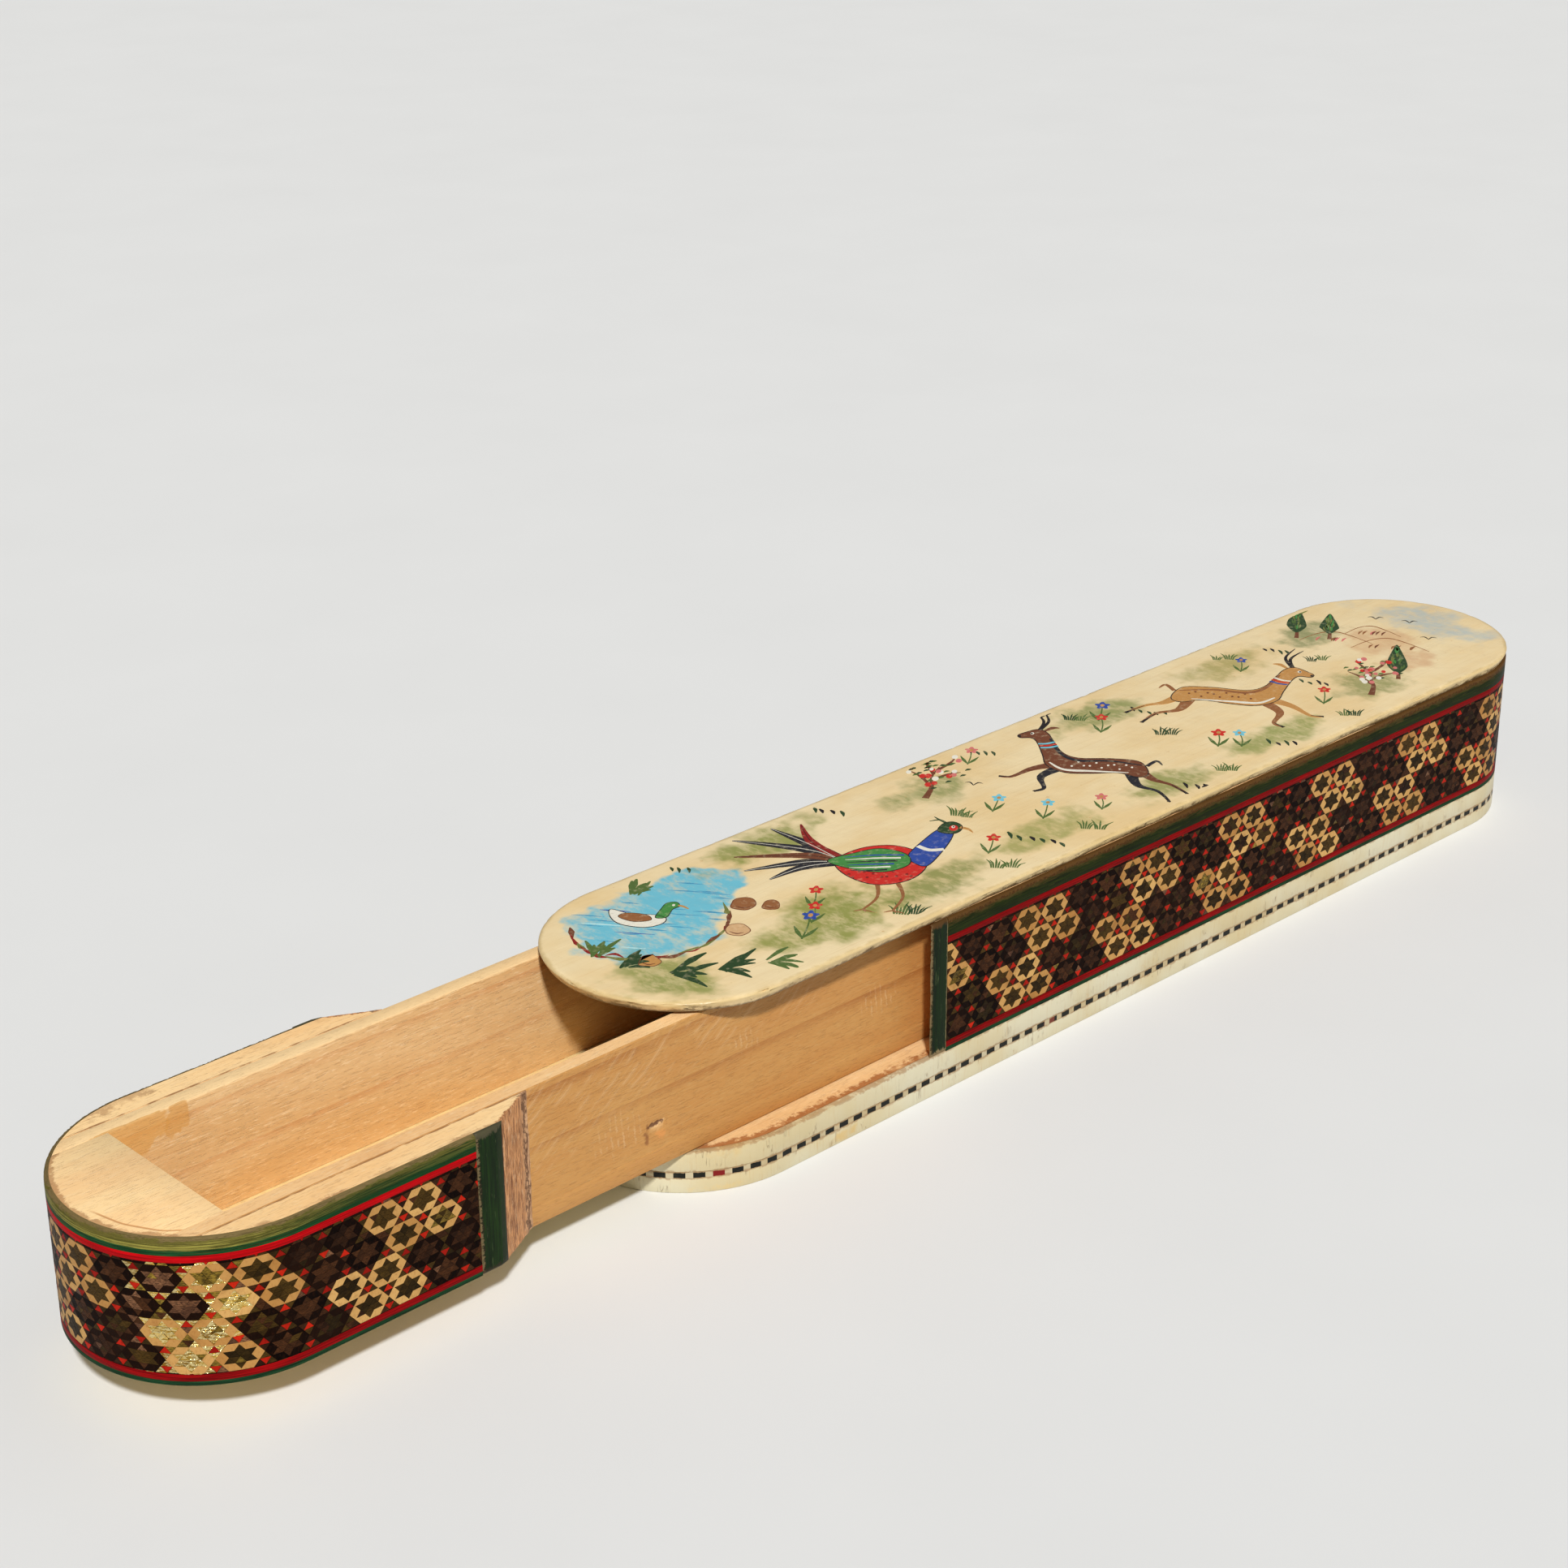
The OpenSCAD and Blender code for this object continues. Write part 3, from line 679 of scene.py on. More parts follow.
def cheekFinish(name, seed, glue):
    joint = abs(boxOf("drawer_near_side")[0].y) + cheekSettings["torn"]["joint"]
    finish = bareWood(name, seed, rim={**headGlue, **glue}, look=cheekSettings["look"], joints=(joint,))
    tree, look = finish.node_tree, cheekSettings["torn"]
    shader = tree.nodes["Principled BSDF"]
    colour = shader.inputs["Base Color"].links[0].from_socket
    point = ownPoint(tree)
    x, y, z = axes(tree, point)
    y = unsigned(tree, y)
    mitre = plus(tree, x, times(tree, y, cheekSettings["slope"]))  # constant over the mitred face
    inner = abs(boxOf("near_cheek")[1].y)
    tip = boxOf("near_cheek")[1].x + cheekSettings["slope"] * inner
    mitre = shaken(tree, mitre, cloud(tree, point, 1.2, 3.0), 0.5)
    torn = fade(tree, mitre, *(tip - part for part in look["soft"]))
    fibres = cloud(tree, point, (2.4, 2.4, 0.3), 5.0, 0.75)
    brown = blend(tree, fade(tree, fibres, 0.34, 0.64), look["deep"], look["body"])
    # pale flecks on the torn fibres and a pale ridge by the inner corner: paler wood, painted lighter as
    # highlights where it stands up
    grey = fade(tree, cloud(tree, point, (1.4, 1.4, 0.5), 5.0, 0.7), 0.54, 0.66)
    ridge = fade(tree, shaken(tree, y, fibres, 0.5), *look["ridge"])
    raisedHighlight = times(tree, sums(tree, "MAXIMUM", grey, ridge), fade(tree, fibres, 0.35, 0.6, 0.1, 0.6))
    brown = blend(tree, raisedHighlight, brown, look["raisedHighlight"])
    creviceShade = shaken(tree, y, cloud(tree, point, (1.0, 1.0, 0.7), 5.0, 0.7), 0.4)
    creviceShade = unsigned(tree, minus(tree, creviceShade, inner + look["creviceShadeIn"]))  # painted shade in the gap beside the drawer's side
    brown = blend(tree, fade(tree, creviceShade, 0.3, 0.08, 0.0, 0.8), brown, look["creviceShade"])
    tree.links.new(blend(tree, torn, colour, brown), shader.inputs["Base Color"])
    return finish


nearCheekFinish = cheekFinish("nearCheekWood", 9.0, {})
farCheekFinish = cheekFinish("farCheekWood", 11.0, cheekSettings["farGlue"])
cheek("near_cheek", "nearCheek", -1, nearCheekFinish, cheekSettings)
cheek("far_cheek", "farCheek", 1, farCheekFinish, cheekSettings)
print("pen box: walls and drawer boards done")


# Khatam: rows of six-sided rosettes, sawn from rods, with triangles between them

khatamSettings = {
    "pitch": 6.65, "rows": 4, "topSpare": 0.4, "lowSpare": 0.1, "tips": 0.92, "bed": 0.15, "bedStep": 0.8,
    "thick": 0.4, "sink": 0.03, "seam": 0.05, "ringSeam": 0.006, "starSeam": 0.03,
    "mainMetal": 0.7, "redShare": 0.94, "crease": 25,
    "sleeveFirst": -37.4, "headFirst": -168.5, "tilt": 0.01, "brassTilt": 0.05,
    "sleevePolish": 0.03, "headWearAndGlint": 0.04, "wearAndGlintReach": 9.0,
    "pieces": {  # darkest and lightest, flecks, how far they vary, roughness, metal, gloss
        "bed": ((12, 8, 6), (28, 16, 10), (40, 24, 14), 0.5, (0.5, 0.7), 0.0, 0.06),
        "bone": ((170, 120, 61), (205, 161, 96), (142, 90, 42), 0.4, (0.4, 0.55), 0.0, 0.1),
        "ebony": ((9, 3, 2), (28, 13, 6), (46, 22, 10), 0.5, (0.4, 0.6), 0.0, 0.03),
        "oldBrass": ((40, 28, 8), (78, 56, 19), (20, 12, 4), 0.55, (0.4, 0.55), 0.1, 0.05),
        "oldCopper": ((36, 18, 7), (76, 44, 22), (22, 11, 5), 0.6, (0.4, 0.55), 0.05, 0.05),
        # rubbed and bright brass, placed at the head's shoulders: their gold and near-white flecks are
        # painted glints
        "rubbedBrass": ((108, 84, 24), (176, 144, 54), (48, 36, 12), 0.8, (0.3, 0.45), 0.6, 0.2),
        "brightBrass": ((150, 108, 26), (232, 190, 86), (255, 240, 178), 0.7, (0.12, 0.24), 0.95, 0.4),
        "rubbedCopper": ((88, 56, 36), (140, 96, 64), (46, 26, 14), 0.8, (0.34, 0.5), 0.2, 0.12),
        "red": ((128, 12, 4), (190, 34, 12), (94, 8, 4), 0.5, (0.4, 0.55), 0.0, 0.06),
    },
}
tileKinds = list(khatamSettings["pieces"])
tileFinishes = []
for kind, look in khatamSettings["pieces"].items():
    tileFinishes.append(tileFinish("khatam" + kind[0].upper() + kind[1:], look))


def clipped(shape, low, high):  # keep what lies between two heights
    for limit, sign in ((low, 1), (high, -1)):
        kept = []
        for i, here in enumerate(shape):
            there = shape[(i + 1) % len(shape)]
            inHere, inThere = sign * (here[1] - limit) >= 0, sign * (there[1] - limit) >= 0
            if inHere:
                kept.append(here)
            if inHere != inThere:
                share = (limit - here[1]) / (there[1] - here[1])
                kept.append((here[0] + share * (there[0] - here[0]), limit))
        shape = kept
        if len(shape) < 3:
            return []
    return shape


def drawnIn(shape, by):  # a little smaller all round, for the saw-thin seam
    area = rim = 0.0
    for i, here in enumerate(shape):
        there = shape[(i + 1) % len(shape)]
        area += here[0] * there[1] - there[0] * here[1]
        rim += math.hypot(there[0] - here[0], there[1] - here[1])
    inner = abs(area) / max(rim, 1e-9)
    if inner < by * 1.6:  # too small to saw
        return []
    midA = sum(p[0] for p in shape) / len(shape)
    midZ = sum(p[1] for p in shape) / len(shape)
    size = 1 - by / inner
    return [(midA + (a - midA) * size, midZ + (z - midZ) * size) for a, z in shape]


def rosette(midA, midZ, halfA, halfZ, reach):  # the ring's corner pieces, the star's points and its heart
    corners = [(1, 0), (0.5, 1), (-0.5, 1), (-1, 0), (-0.5, -1), (0.5, -1)]
    corners = [(midA + halfA * a, midZ + halfZ * z) for a, z in corners]
    edges, tips = [], []
    for i in range(6):
        a, z = corners[i]
        nextA, nextZ = corners[(i + 1) % 6]
        edges.append(((a + nextA) / 2, (z + nextZ) / 2))
        tips.append((midA + reach * (edges[i][0] - midA), midZ + reach * (edges[i][1] - midZ)))
    notches = [(midA + reach * 0.5 * (a - midA), midZ + reach * 0.5 * (z - midZ)) for a, z in corners]
    ring = [[corners[i], edges[i], tips[i], notches[i], tips[i - 1], edges[i - 1]] for i in range(6)]
    star = [[notches[i], tips[i], notches[(i + 1) % 6]] for i in range(6)]
    star += [[(midA, midZ), notches[i], notches[(i + 1) % 6]] for i in range(6)]
    return ring, star


def between(midA, midZ, halfA, halfZ):  # the two triangles right of a rosette, each cut in four
    pieces = []
    for sign in (1, -1):
        left, right = (midA + halfA / 2, midZ + sign * halfZ), (midA + 1.5 * halfA, midZ + sign * halfZ)
        point = (midA + halfA, midZ)
        top = ((left[0] + right[0]) / 2, left[1])
        sideL = ((left[0] + point[0]) / 2, (left[1] + point[1]) / 2)
        sideR = ((right[0] + point[0]) / 2, (right[1] + point[1]) / 2)
        pieces.append((0, [top, sideL, sideR]))
        pieces += [(1, [left, sideL, top]), (2, [right, top, sideR]), (3, [point, sideR, sideL])]
    return pieces


metalKinds = ("oldBrass", "oldCopper", "rubbedBrass", "brightBrass", "rubbedCopper")


def metalsFor(brass, wearAndGlint):  # how likely each metal is, from dull to rubbed bright, where the rubbed and bright brass carry painted glints
    dull = max(1 - wearAndGlint, 0.0)
    if brass:
        return (dull, 0.1 * dull, wearAndGlint, max(wearAndGlint - 0.35, 0.0) * 5.0, 0.05 * wearAndGlint)
    return (0.3 * dull, dull, 0.15 * wearAndGlint, 0.0, wearAndGlint)


def khatamBed(wrap, start, total, low, high, settings):  # what the pieces are glued on
    points, faces, laid = [], [], []
    steps = int(total / settings["bedStep"])
    ring = ((low, settings["bed"]), (high, settings["bed"]), (high, veneer), (low, veneer))
    for i in range(steps + 1):
        along = start + total * i / steps
        for z, deep in ring:
            laid.append((along, z, deep))
            points.append(wrapped(wrap, *laid[-1]))
        if i:
            for k in range(4):
                n = (k + 1) % 4
                faces.append(((i - 1) * 4 + k, (i - 1) * 4 + n, i * 4 + n, i * 4 + k))
    faces.append((3, 2, 1, 0))
    faces.append(tuple(steps * 4 + k for k in range(4)))
    return points, faces, laid


def khatamSheet(name, wrap, node, first, body, replaced, seed, wearAndGlintAt, settings):
    rand = random.Random(seed)
    low, high = (corner.z for corner in boxOf(node))
    start = wrapStart(wrap, node)
    total = 2 * -start + math.pi * wrap["radius"]
    points, faces, laid = khatamBed(wrap, start, total, low, high, settings)
    kinds, marks = [0] * len(faces), [0.5] * len(faces)

    def near(value, spread):
        return min(max(value + rand.uniform(-spread, spread), 0.0), 1.0)

    def addTile(shape, kind, tint, seam=settings["seam"]):
        shape = clipped(shape, low, high)
        shape = [(min(max(a, start), start + total), z) for a, z in shape]
        shape = drawnIn(shape, seam / 2) if len(shape) > 2 else []
        if not shape:
            return
        midA = sum(p[0] for p in shape) / len(shape)
        midZ = sum(p[1] for p in shape) / len(shape)
        tilt = settings["brassTilt"] if kind in ("brightBrass", "rubbedBrass") else settings["tilt"]
        leanA, leanZ, sunk = rand.gauss(0, tilt), rand.gauss(0, tilt), rand.uniform(0.0, settings["sink"])
        deeps = [sunk + leanA * (a - midA) + leanZ * (z - midZ) for a, z in shape]
        lift = min(min(deeps), 0.0)
        base, count = len(points), len(shape)
        for (a, z), deep in zip(shape, deeps):
            laid.append((a, z, min(deep - lift, settings["bed"] - settings["sink"])))
            points.append(wrapped(wrap, *laid[-1]))
        for a, z in shape:
            laid.append((a, z, settings["thick"]))
            points.append(wrapped(wrap, *laid[-1]))
        faces.append(tuple(base + i for i in range(count)))
        faces.append(tuple(base + count + i for i in range(count))[::-1])
        for i in range(count):
            j = (i + 1) % count
            faces.append((base + j, base + i, base + count + i, base + count + j))
        kinds.extend([tileKinds.index(kind)] * (count + 2))
        marks.extend([tint] * (count + 2))

    pitch = settings["pitch"]
    rowGap = (high - low - settings["topSpare"] - settings["lowSpare"]) / settings["rows"]
    halfA, halfZ = pitch / 2, rowGap / 2
    origin = (first - wrap["centre"]) * wrap["turn"]
    reach = int(total / pitch) + 4
    for row in range(-1, settings["rows"] + 1):
        midZ = high - settings["topSpare"] - rowGap * (row + 0.5)
        for order in range(-reach, reach + 1):  # along the box, so that both sheets run the same way
            midA = origin + wrap["turn"] * (order + 0.5 * (row % 2)) * pitch
            if midA < start - pitch or midA > start + total + pitch:
                continue
            pale = (order % 4 in (0, 1)) if row in (0, 1) else (order % 4 in (3, 0))
            pale = pale and 0 <= row < settings["rows"]
            ring, star = rosette(midA, midZ, halfA, halfZ, settings["tips"])
            tint = rand.random()
            for shape in ring:
                addTile(shape, "bone" if pale else "ebony", near(tint, 0.22), settings["ringSeam"])
            tint = rand.random()
            metals = metalsFor(pale, wearAndGlintAt(midA) * rand.uniform(0.75, 1.25))
            main = rand.choices(metalKinds, metals)[0]
            for shape in star:
                kind = main
                if rand.random() >= settings["mainMetal"]:
                    kind = rand.choices(metalKinds, metals)[0]
                addTile(shape, kind, near(tint, 0.4), settings["starSeam"])
            for part, shape in between(midA, midZ, halfA, halfZ):
                if part == 0:
                    kind = "red" if rand.random() < settings["redShare"] else "oldCopper"
                    addTile(shape, kind, near(0.5, 0.5))
                else:
                    wearAndGlint = wearAndGlintAt(midA + halfA)
                    brass = rand.random() < 0.35 + 0.6 * wearAndGlint
                    metals = metalsFor(brass, wearAndGlint * rand.uniform(0.8, 1.3))
                    addTile(shape, rand.choices(metalKinds, metals)[0], near(0.5, 0.5))
    return makePiece(name, points, faces, body, tileFinishes, replaced, "marquetry",
                     marks=marks, kinds=kinds, laid=laid, crease=settings["crease"])


def sleevePolish(along):  # dull all along
    return khatamSettings["sleevePolish"]


def headWearAndGlint(along):  # brass rubbed bright at the two shoulders of the head, with painted glints there where light would shine off the curve
    half = math.pi * headWrap["radius"] / 2
    away = min(abs(along - 0.5 * half), abs(along - 1.5 * half)) / khatamSettings["wearAndGlintReach"]
    least = khatamSettings["headWearAndGlint"]
    return least + (1 - least) * max(1 - away * away, 0.0)


khatamSheet("sleeveKhatam", sleeveWrap, "sleeve_khatam", khatamSettings["sleeveFirst"], "sleeve",
            ["sleeve_khatam", "sleeve_rosettes", "sleeve_stars"], 21, sleevePolish, khatamSettings)
khatamSheet("headKhatam", headWrap, "head_khatam", khatamSettings["headFirst"], "drawer",
            ["head_khatam", "head_rosettes", "head_stars"], 22, headWearAndGlint, khatamSettings)
print("pen box: khatam done")


# Green bands and red lines above and below the khatam

def bandLook(deep, body, scuffTone, scuff, worn=(), depth=0.05):
    return {
        "laid": True, "grain": (0.1, 5.0, 5.0), "deep": deep, "body": body,
        "scuffGrain": (0.25, 5.0, 5.0), "scuffFrom": 0.62, "scuff": scuff, "scuffTone": scuffTone,
        "rough": (0.42, 0.6), "gloss": 0.04, "relief": depth, "worn": worn,
    }


def wornEdge(start, end, ragged, grain, colour, strength, cut, axis=1):
    return {"axis": axis, "start": start, "end": end, "ragged": ragged, "grain": grain, "tone": colour,
            "strength": strength, "cut": cut}


sleeveWear = (
    wornEdge(29.7, 30.4, 0.5, (0.3, 1.4, 1.0), (78, 62, 30), 0.7, 0.3),
    wornEdge(30.2, 30.7, 0.5, (0.5, 1.6, 1.0), (70, 43, 19), 0.9, 0.5),
    wornEdge(30.6, 30.8, 0.5, (1.8, 1.6, 1.0), (104, 74, 38), 0.5, 0.6),
)
headWear = (
    wornEdge(28.55, 28.95, 0.25, (0.12, 2.4, 1.0), (150, 140, 64), 0.9, 0.2),
    wornEdge(29.2, 29.6, 2.6, (0.06, 5.5, 2.0), (66, 64, 24), 0.85, 0.5),
    wornEdge(22.0, 46.0, 7.0, (0.06, 0.9, 1.0), (24, 56, 26), 0.8, 0.0, axis=3),
    wornEdge(29.4, 29.9, 0.8, (0.12, 3.0, 1.0), (104, 96, 44), 0.7, 0.3),
    wornEdge(30.0, 30.25, 0.3, (0.4, 2.4, 1.0), (120, 100, 66), 0.8, 0.4),
)
bandSettings = {
    "sleeveGreen": bandLook((15, 23, 6), (44, 54, 17), (84, 78, 32), 0.55, sleeveWear),
    "headGreen": bandLook((12, 40, 20), (34, 92, 48), (24, 44, 20), 0.7, headWear, depth=0.09),
    "lowGreen": bandLook((12, 30, 18), (34, 76, 44), (70, 88, 48), 0.4),
    "redLine": bandLook((94, 4, 5), (150, 9, 10), (56, 5, 5), 0.45),
    "headLowRed": bandLook((98, 4, 6), (160, 10, 13), (64, 5, 6), 0.55),
    "headRed": bandLook((140, 3, 8), (206, 10, 18), (100, 5, 8), 0.4),
}
bandSettings["headGreen"]["middle"] = math.pi * headWrap["radius"] / 2
bandFinishes = {kind: bandFinish(kind + "Wood", look) for kind, look in bandSettings.items()}


def plainProfile(node):  # height, depth and looseness round a strip's section
    low, high = boxOf(node)
    foot = [(low.z, veneer, 0), (low.z, 0.03, 0), (low.z + 0.05, 0.0, 0)]
    return foot + [(high.z - 0.05, 0.0, 0), (high.z, 0.03, 0), (high.z, veneer, 0)]


sleeveStart, headStart = wrapStart(sleeveWrap, "sleeve_khatam"), wrapStart(headWrap, "head_khatam")
sleeveStrips = (  # solid, piece, finish, slot
    ("sleeve_green_band", "sleeveGreenBand", "sleeveGreen", "green_wood"),
    ("sleeve_upper_red", "sleeveUpperRed", "redLine", "red_wood"),
    ("sleeve_lower_red", "sleeveLowerRed", "redLine", "red_wood"),
    ("sleeve_lower_green", "sleeveLowerGreen", "lowGreen", "green_wood"),
)
headStrips = (
    ("head_upper_red", "headUpperRed", "headRed", "red_wood"),
    ("head_lower_red", "headLowerRed", "headLowRed", "red_wood"),
    ("head_lower_green", "headLowerGreen", "lowGreen", "green_wood"),
)
for node, name, kind, slot in sleeveStrips:
    bentStrip(name, sleeveWrap, sleeveStart, plainProfile(node), "sleeve", bandFinishes[kind], [node], slot)
for node, name, kind, slot in headStrips:
    bentStrip(name, headWrap, headStart, plainProfile(node), "drawer", bandFinishes[kind], [node], slot)
bandLow, bandHigh = (corner.z for corner in boxOf("head_green_band"))
frayed = [(bandLow, veneer, 0), (bandLow, 0.0, 0), (bandHigh - 1.3, 0.0, 0), (bandHigh - 0.6, 0.03, 0.4),
          (bandHigh - 0.2, 0.14, 1), (bandHigh - 0.03, 0.4, 0.6), (bandHigh, veneer, 0)]
bentStrip("headGreenBand", headWrap, headStart, frayed, "drawer", bandFinishes["headGreen"],
          ["head_green_band"], "green_wood", step=0.3, rough=0.35, seed=3.0)


# Upright green strips at the sleeve's mouth and at the cheeks' ends

stripSettings = {"rows": 110, "edge": 0.16, "chip": 0.5, "thick": veneer}
stripLook = {
    "laid": False, "grain": (3.0, 3.0, 0.14), "deep": (12, 28, 8), "body": (28, 52, 17),
    "scuffGrain": (3.0, 3.0, 0.3), "scuffFrom": 0.64, "scuff": 0.45, "scuffTone": (84, 96, 60),
    "rough": (0.4, 0.58), "gloss": 0.1, "relief": 0.06,
}


def uprightStrip(node, name, body, look, settings, seed, topTone, footTone, edgeTone, endTone):
    low, high = boxOf(node)
    side = -1 if low.y < 0 else 1
    outer = max(abs(low.y), abs(high.y))
    left, right = low.x, high.x
    lean = cheekSettings["slope"] * settings["thick"]  # one end of each strip lies on the mitre
    under, outRight = (lean, right) if body == "sleeve" else (0.0, right - lean)
    edge, rows = settings["edge"], settings["rows"]
    back = outer - settings["thick"]
    rings = []
    for k in range(rows + 1):
        z = low.z + (high.z - low.z) * k / rows
        chipL = 0.25 * wobble(z * 0.9, seed, 1.0) + 0.5 * max(wobble(z * 2.6, seed, 5.0), 0) + 0.12
        chipL = settings["chip"] * max(chipL, 0.0)
        chipR = 0.12 * max(wobble(z * 1.4, seed, 8.0), 0.0)
        ends = min(k, rows - k) / rows * (high.z - low.z)
        drop = 0.25 * max(1 - ends / 0.35, 0.0)
        face = outer - drop
        plan = [
            (left + under + chipL * 0.4, back), (left + chipL, outer - edge - drop),
            (left + chipL + edge, outer - 0.3 * edge * 0.5 - drop), (left + chipL + 3 * edge, face),
            (outRight - 2 * edge - chipR, face), (outRight - chipR, outer - 0.4 * edge - drop),
            (right, back),
        ]
        rings.append([(x, side * y, z) for x, y in plan])
    points, faces = loft(rings)
    worn = [
        wornEdge(left + 0.7, left + 0.35, 0.3, (1.0, 1.0, 1.2), edgeTone, 0.85, 0.5, axis=0),
        wornEdge(left + 0.42, left + 0.2, 0.35, (1.4, 1.4, 1.9), (150, 128, 90), 0.45, 0.5, axis=0),
        wornEdge(right - 0.3, right - 0.14, 0.1, (1.0, 1.0, 1.2), endTone, 0.6, 0.3, axis=0),
        wornEdge(high.z - 1.1, high.z - 0.5, 0.5, (1.6, 1.6, 0.6), topTone, 0.85, 0.4),
        wornEdge(low.z + 1.0, low.z + 0.5, 0.5, (1.6, 1.6, 0.8), footTone, 0.75, 0.4),
    ]
    finish = bandFinish(name + "Wood", {**look, "worn": worn})
    return makePiece(name, points, faces, body, [finish], [node], "green_wood")


mouthLook = {**stripLook, "deep": (9, 22, 6), "body": (20, 41, 13)}
mouthTones = ((86, 58, 30), (150, 128, 90), (66, 52, 30), (150, 132, 92))  # worn top, foot, left and right
cheekTones = ((82, 76, 56), (46, 40, 24), (40, 34, 20), (54, 40, 22))
for node, name, seed in (("near_mouth_strip", "nearMouthStrip", 1.3),
                         ("far_mouth_strip", "farMouthStrip", 5.7)):
    uprightStrip(node, name, "sleeve", mouthLook, stripSettings, seed, *mouthTones)
for node, name, seed in (("near_cheek_strip", "nearCheekStrip", 9.1),
                         ("far_cheek_strip", "farCheekStrip", 12.4)):
    uprightStrip(node, name, "drawer", stripLook, stripSettings, seed, *cheekTones)
print("pen box: bands and strips done")


# Top plate of bone, its edge worn round, with the soft colour washes under the picture

plateSettings = {
    "chip": 0.5, "arcSteps": 90, "sideStep": 1.3, "crease": 50,
    "rings": ((0.72, 0.0), (0.5, 0.35), (0.3, 0.75), (0.14, 1.08), (0.03, 1.34), (0.0, 1.48),
              (0.05, 1.64), (0.2, 1.78), (0.5, 1.87), (1.0, 1.9)),  # inset and height, from the foot up
    "clean": (240, 218, 172), "warm": (233, 203, 148), "stain": (200, 152, 90), "edge": (199, 172, 117),
    "spot": (80, 54, 26), "rough": (0.26, 0.42), "gloss": 0.25, "relief": 0.09,
    "washes": (  # place along and across, half sizes, colour, strength, how crisp
        (-95.0, 6.5, 13.5, 12.0, (112, 190, 208), 1.0, 0.86),
        (-81.0, 11.0, 10.0, 7.5, (112, 190, 208), 1.0, 0.86),
        (-104.0, -9.0, 9.0, 9.0, (140, 146, 74), 0.9, 0.4),
        (-73.0, -12.0, 17.0, 9.0, (142, 146, 70), 0.95, 0.4),
        (-52.0, -15.0, 13.0, 6.0, (128, 136, 66), 0.85, 0.4),
        (-61.0, 16.0, 15.0, 6.0, (138, 144, 68), 0.9, 0.4),
        (-24.0, -14.0, 14.0, 6.0, (154, 154, 82), 0.8, 0.4),
        (-26.0, 12.0, 9.0, 6.0, (130, 140, 76), 0.8, 0.4),
        (8.0, -15.0, 13.0, 5.0, (136, 142, 70), 0.85, 0.4),
        (20.0, 14.0, 12.0, 6.0, (132, 142, 76), 0.85, 0.4),
        (38.0, -15.0, 14.0, 5.0, (140, 148, 74), 0.85, 0.4),
        (58.0, 13.0, 14.0, 6.0, (160, 152, 84), 0.75, 0.4),
        (71.0, -12.0, 12.0, 7.0, (134, 138, 76), 0.8, 0.4),
        (84.0, 12.0, 10.0, 6.0, (122, 132, 80), 0.8, 0.5),
        (90.0, 0.0, 9.0, 9.0, (214, 170, 124), 0.7, 0.5),
        (86.0, -10.0, 7.0, 6.0, (210, 162, 118), 0.65, 0.5),
        (106.0, 0.0, 8.0, 17.0, (168, 188, 192), 0.7, 0.3),
    ),
}


def plateFinish(settings, top):
    finish, tree, shader = newFinish("paintedBone")
    point = ownPoint(tree)
    x, y, z = axes(tree, point)
    slow = cloud(tree, stretch(tree, point, (0.5, 1.0, 1.0)), 0.06, 4.0, 0.6)
    colour = blend(tree, fade(tree, slow, 0.36, 0.68), settings["clean"], settings["warm"])
    grain = cloud(tree, point, (0.1, 4.0, 4.0), 4.0, 0.65)
    colour = blend(tree, fade(tree, grain, 0.5, 0.8, 0.0, 0.28), colour, settings["stain"])
    ragged = cloud(tree, point, 0.2, 5.0, 0.7)
    onTop = fade(tree, z, top - 0.35, top - 0.15)
    pooled = fade(tree, cloud(tree, point, 0.12, 3.0, 0.6), 0.25, 0.75, 0.45, -0.45)
    brushed = cloud(tree, stretch(tree, point, (1.0, 0.5, 1.0)), 0.5, 5.0, 0.7)
    brushed = fade(tree, brushed, 0.32, 0.58, 0.5, 1.0)
    for along, across, halfA, halfB, dye, strength, crisp in settings["washes"]:
        away = fromOval(tree, point, (along, across, 0.0), (halfA, halfB, None))
        away = plus(tree, away, times(tree, pooled, 1.25 - crisp))
        share = times(tree, fade(tree, away, 1.05, crisp, 0.0, strength), onTop)
        colour = blend(tree, times(tree, share, brushed), colour, dye)
    spots = fade(tree, cloud(tree, point, 0.75, 3.0, 0.6), 0.7, 0.76, 0.0, 0.55)
    colour = blend(tree, spots, colour, settings["stain"])
    # the rim darker and yellower than the top: age staining, and painted shade that holds down the light
    # the rounded rim catches
    gap = endGap(tree, point, sleeveWrap["centre"], sleeveWrap["radius"])
    rim = fade(tree, shaken(tree, gap, ragged, 0.3), 0.9, 0.1, 0.0, 0.7)
    colour = blend(tree, rim, colour, settings["edge"])
    chipped = fade(tree, cloud(tree, stretch(tree, point, (1.0, 1.0, 1.4)), 0.5, 4.0, 0.7), 0.55, 0.66)
    lower = fade(tree, shaken(tree, z, ragged, 0.3), top - 0.6, top - 1.2, 0.0, 0.7)
    chipped = times(tree, chipped, lower)
    colour = blend(tree, chipped, colour, settings["spot"])
    foot = fade(tree, shaken(tree, z, ragged, 0.45), top - 1.1, top - 1.9, 0.0, 0.8)
    colour = blend(tree, foot, colour, settings["spot"])
    surface(tree, shader, colour, fade(tree, ragged, 0.3, 0.7, *settings["rough"]), settings["gloss"])
    height = plus(tree, times(tree, cloud(tree, point, 0.22, 2.0), 1.4), times(tree, grain, 0.2))
    relief(tree, shader, minus(tree, height, times(tree, chipped, 0.7)), settings["relief"])
    return finish


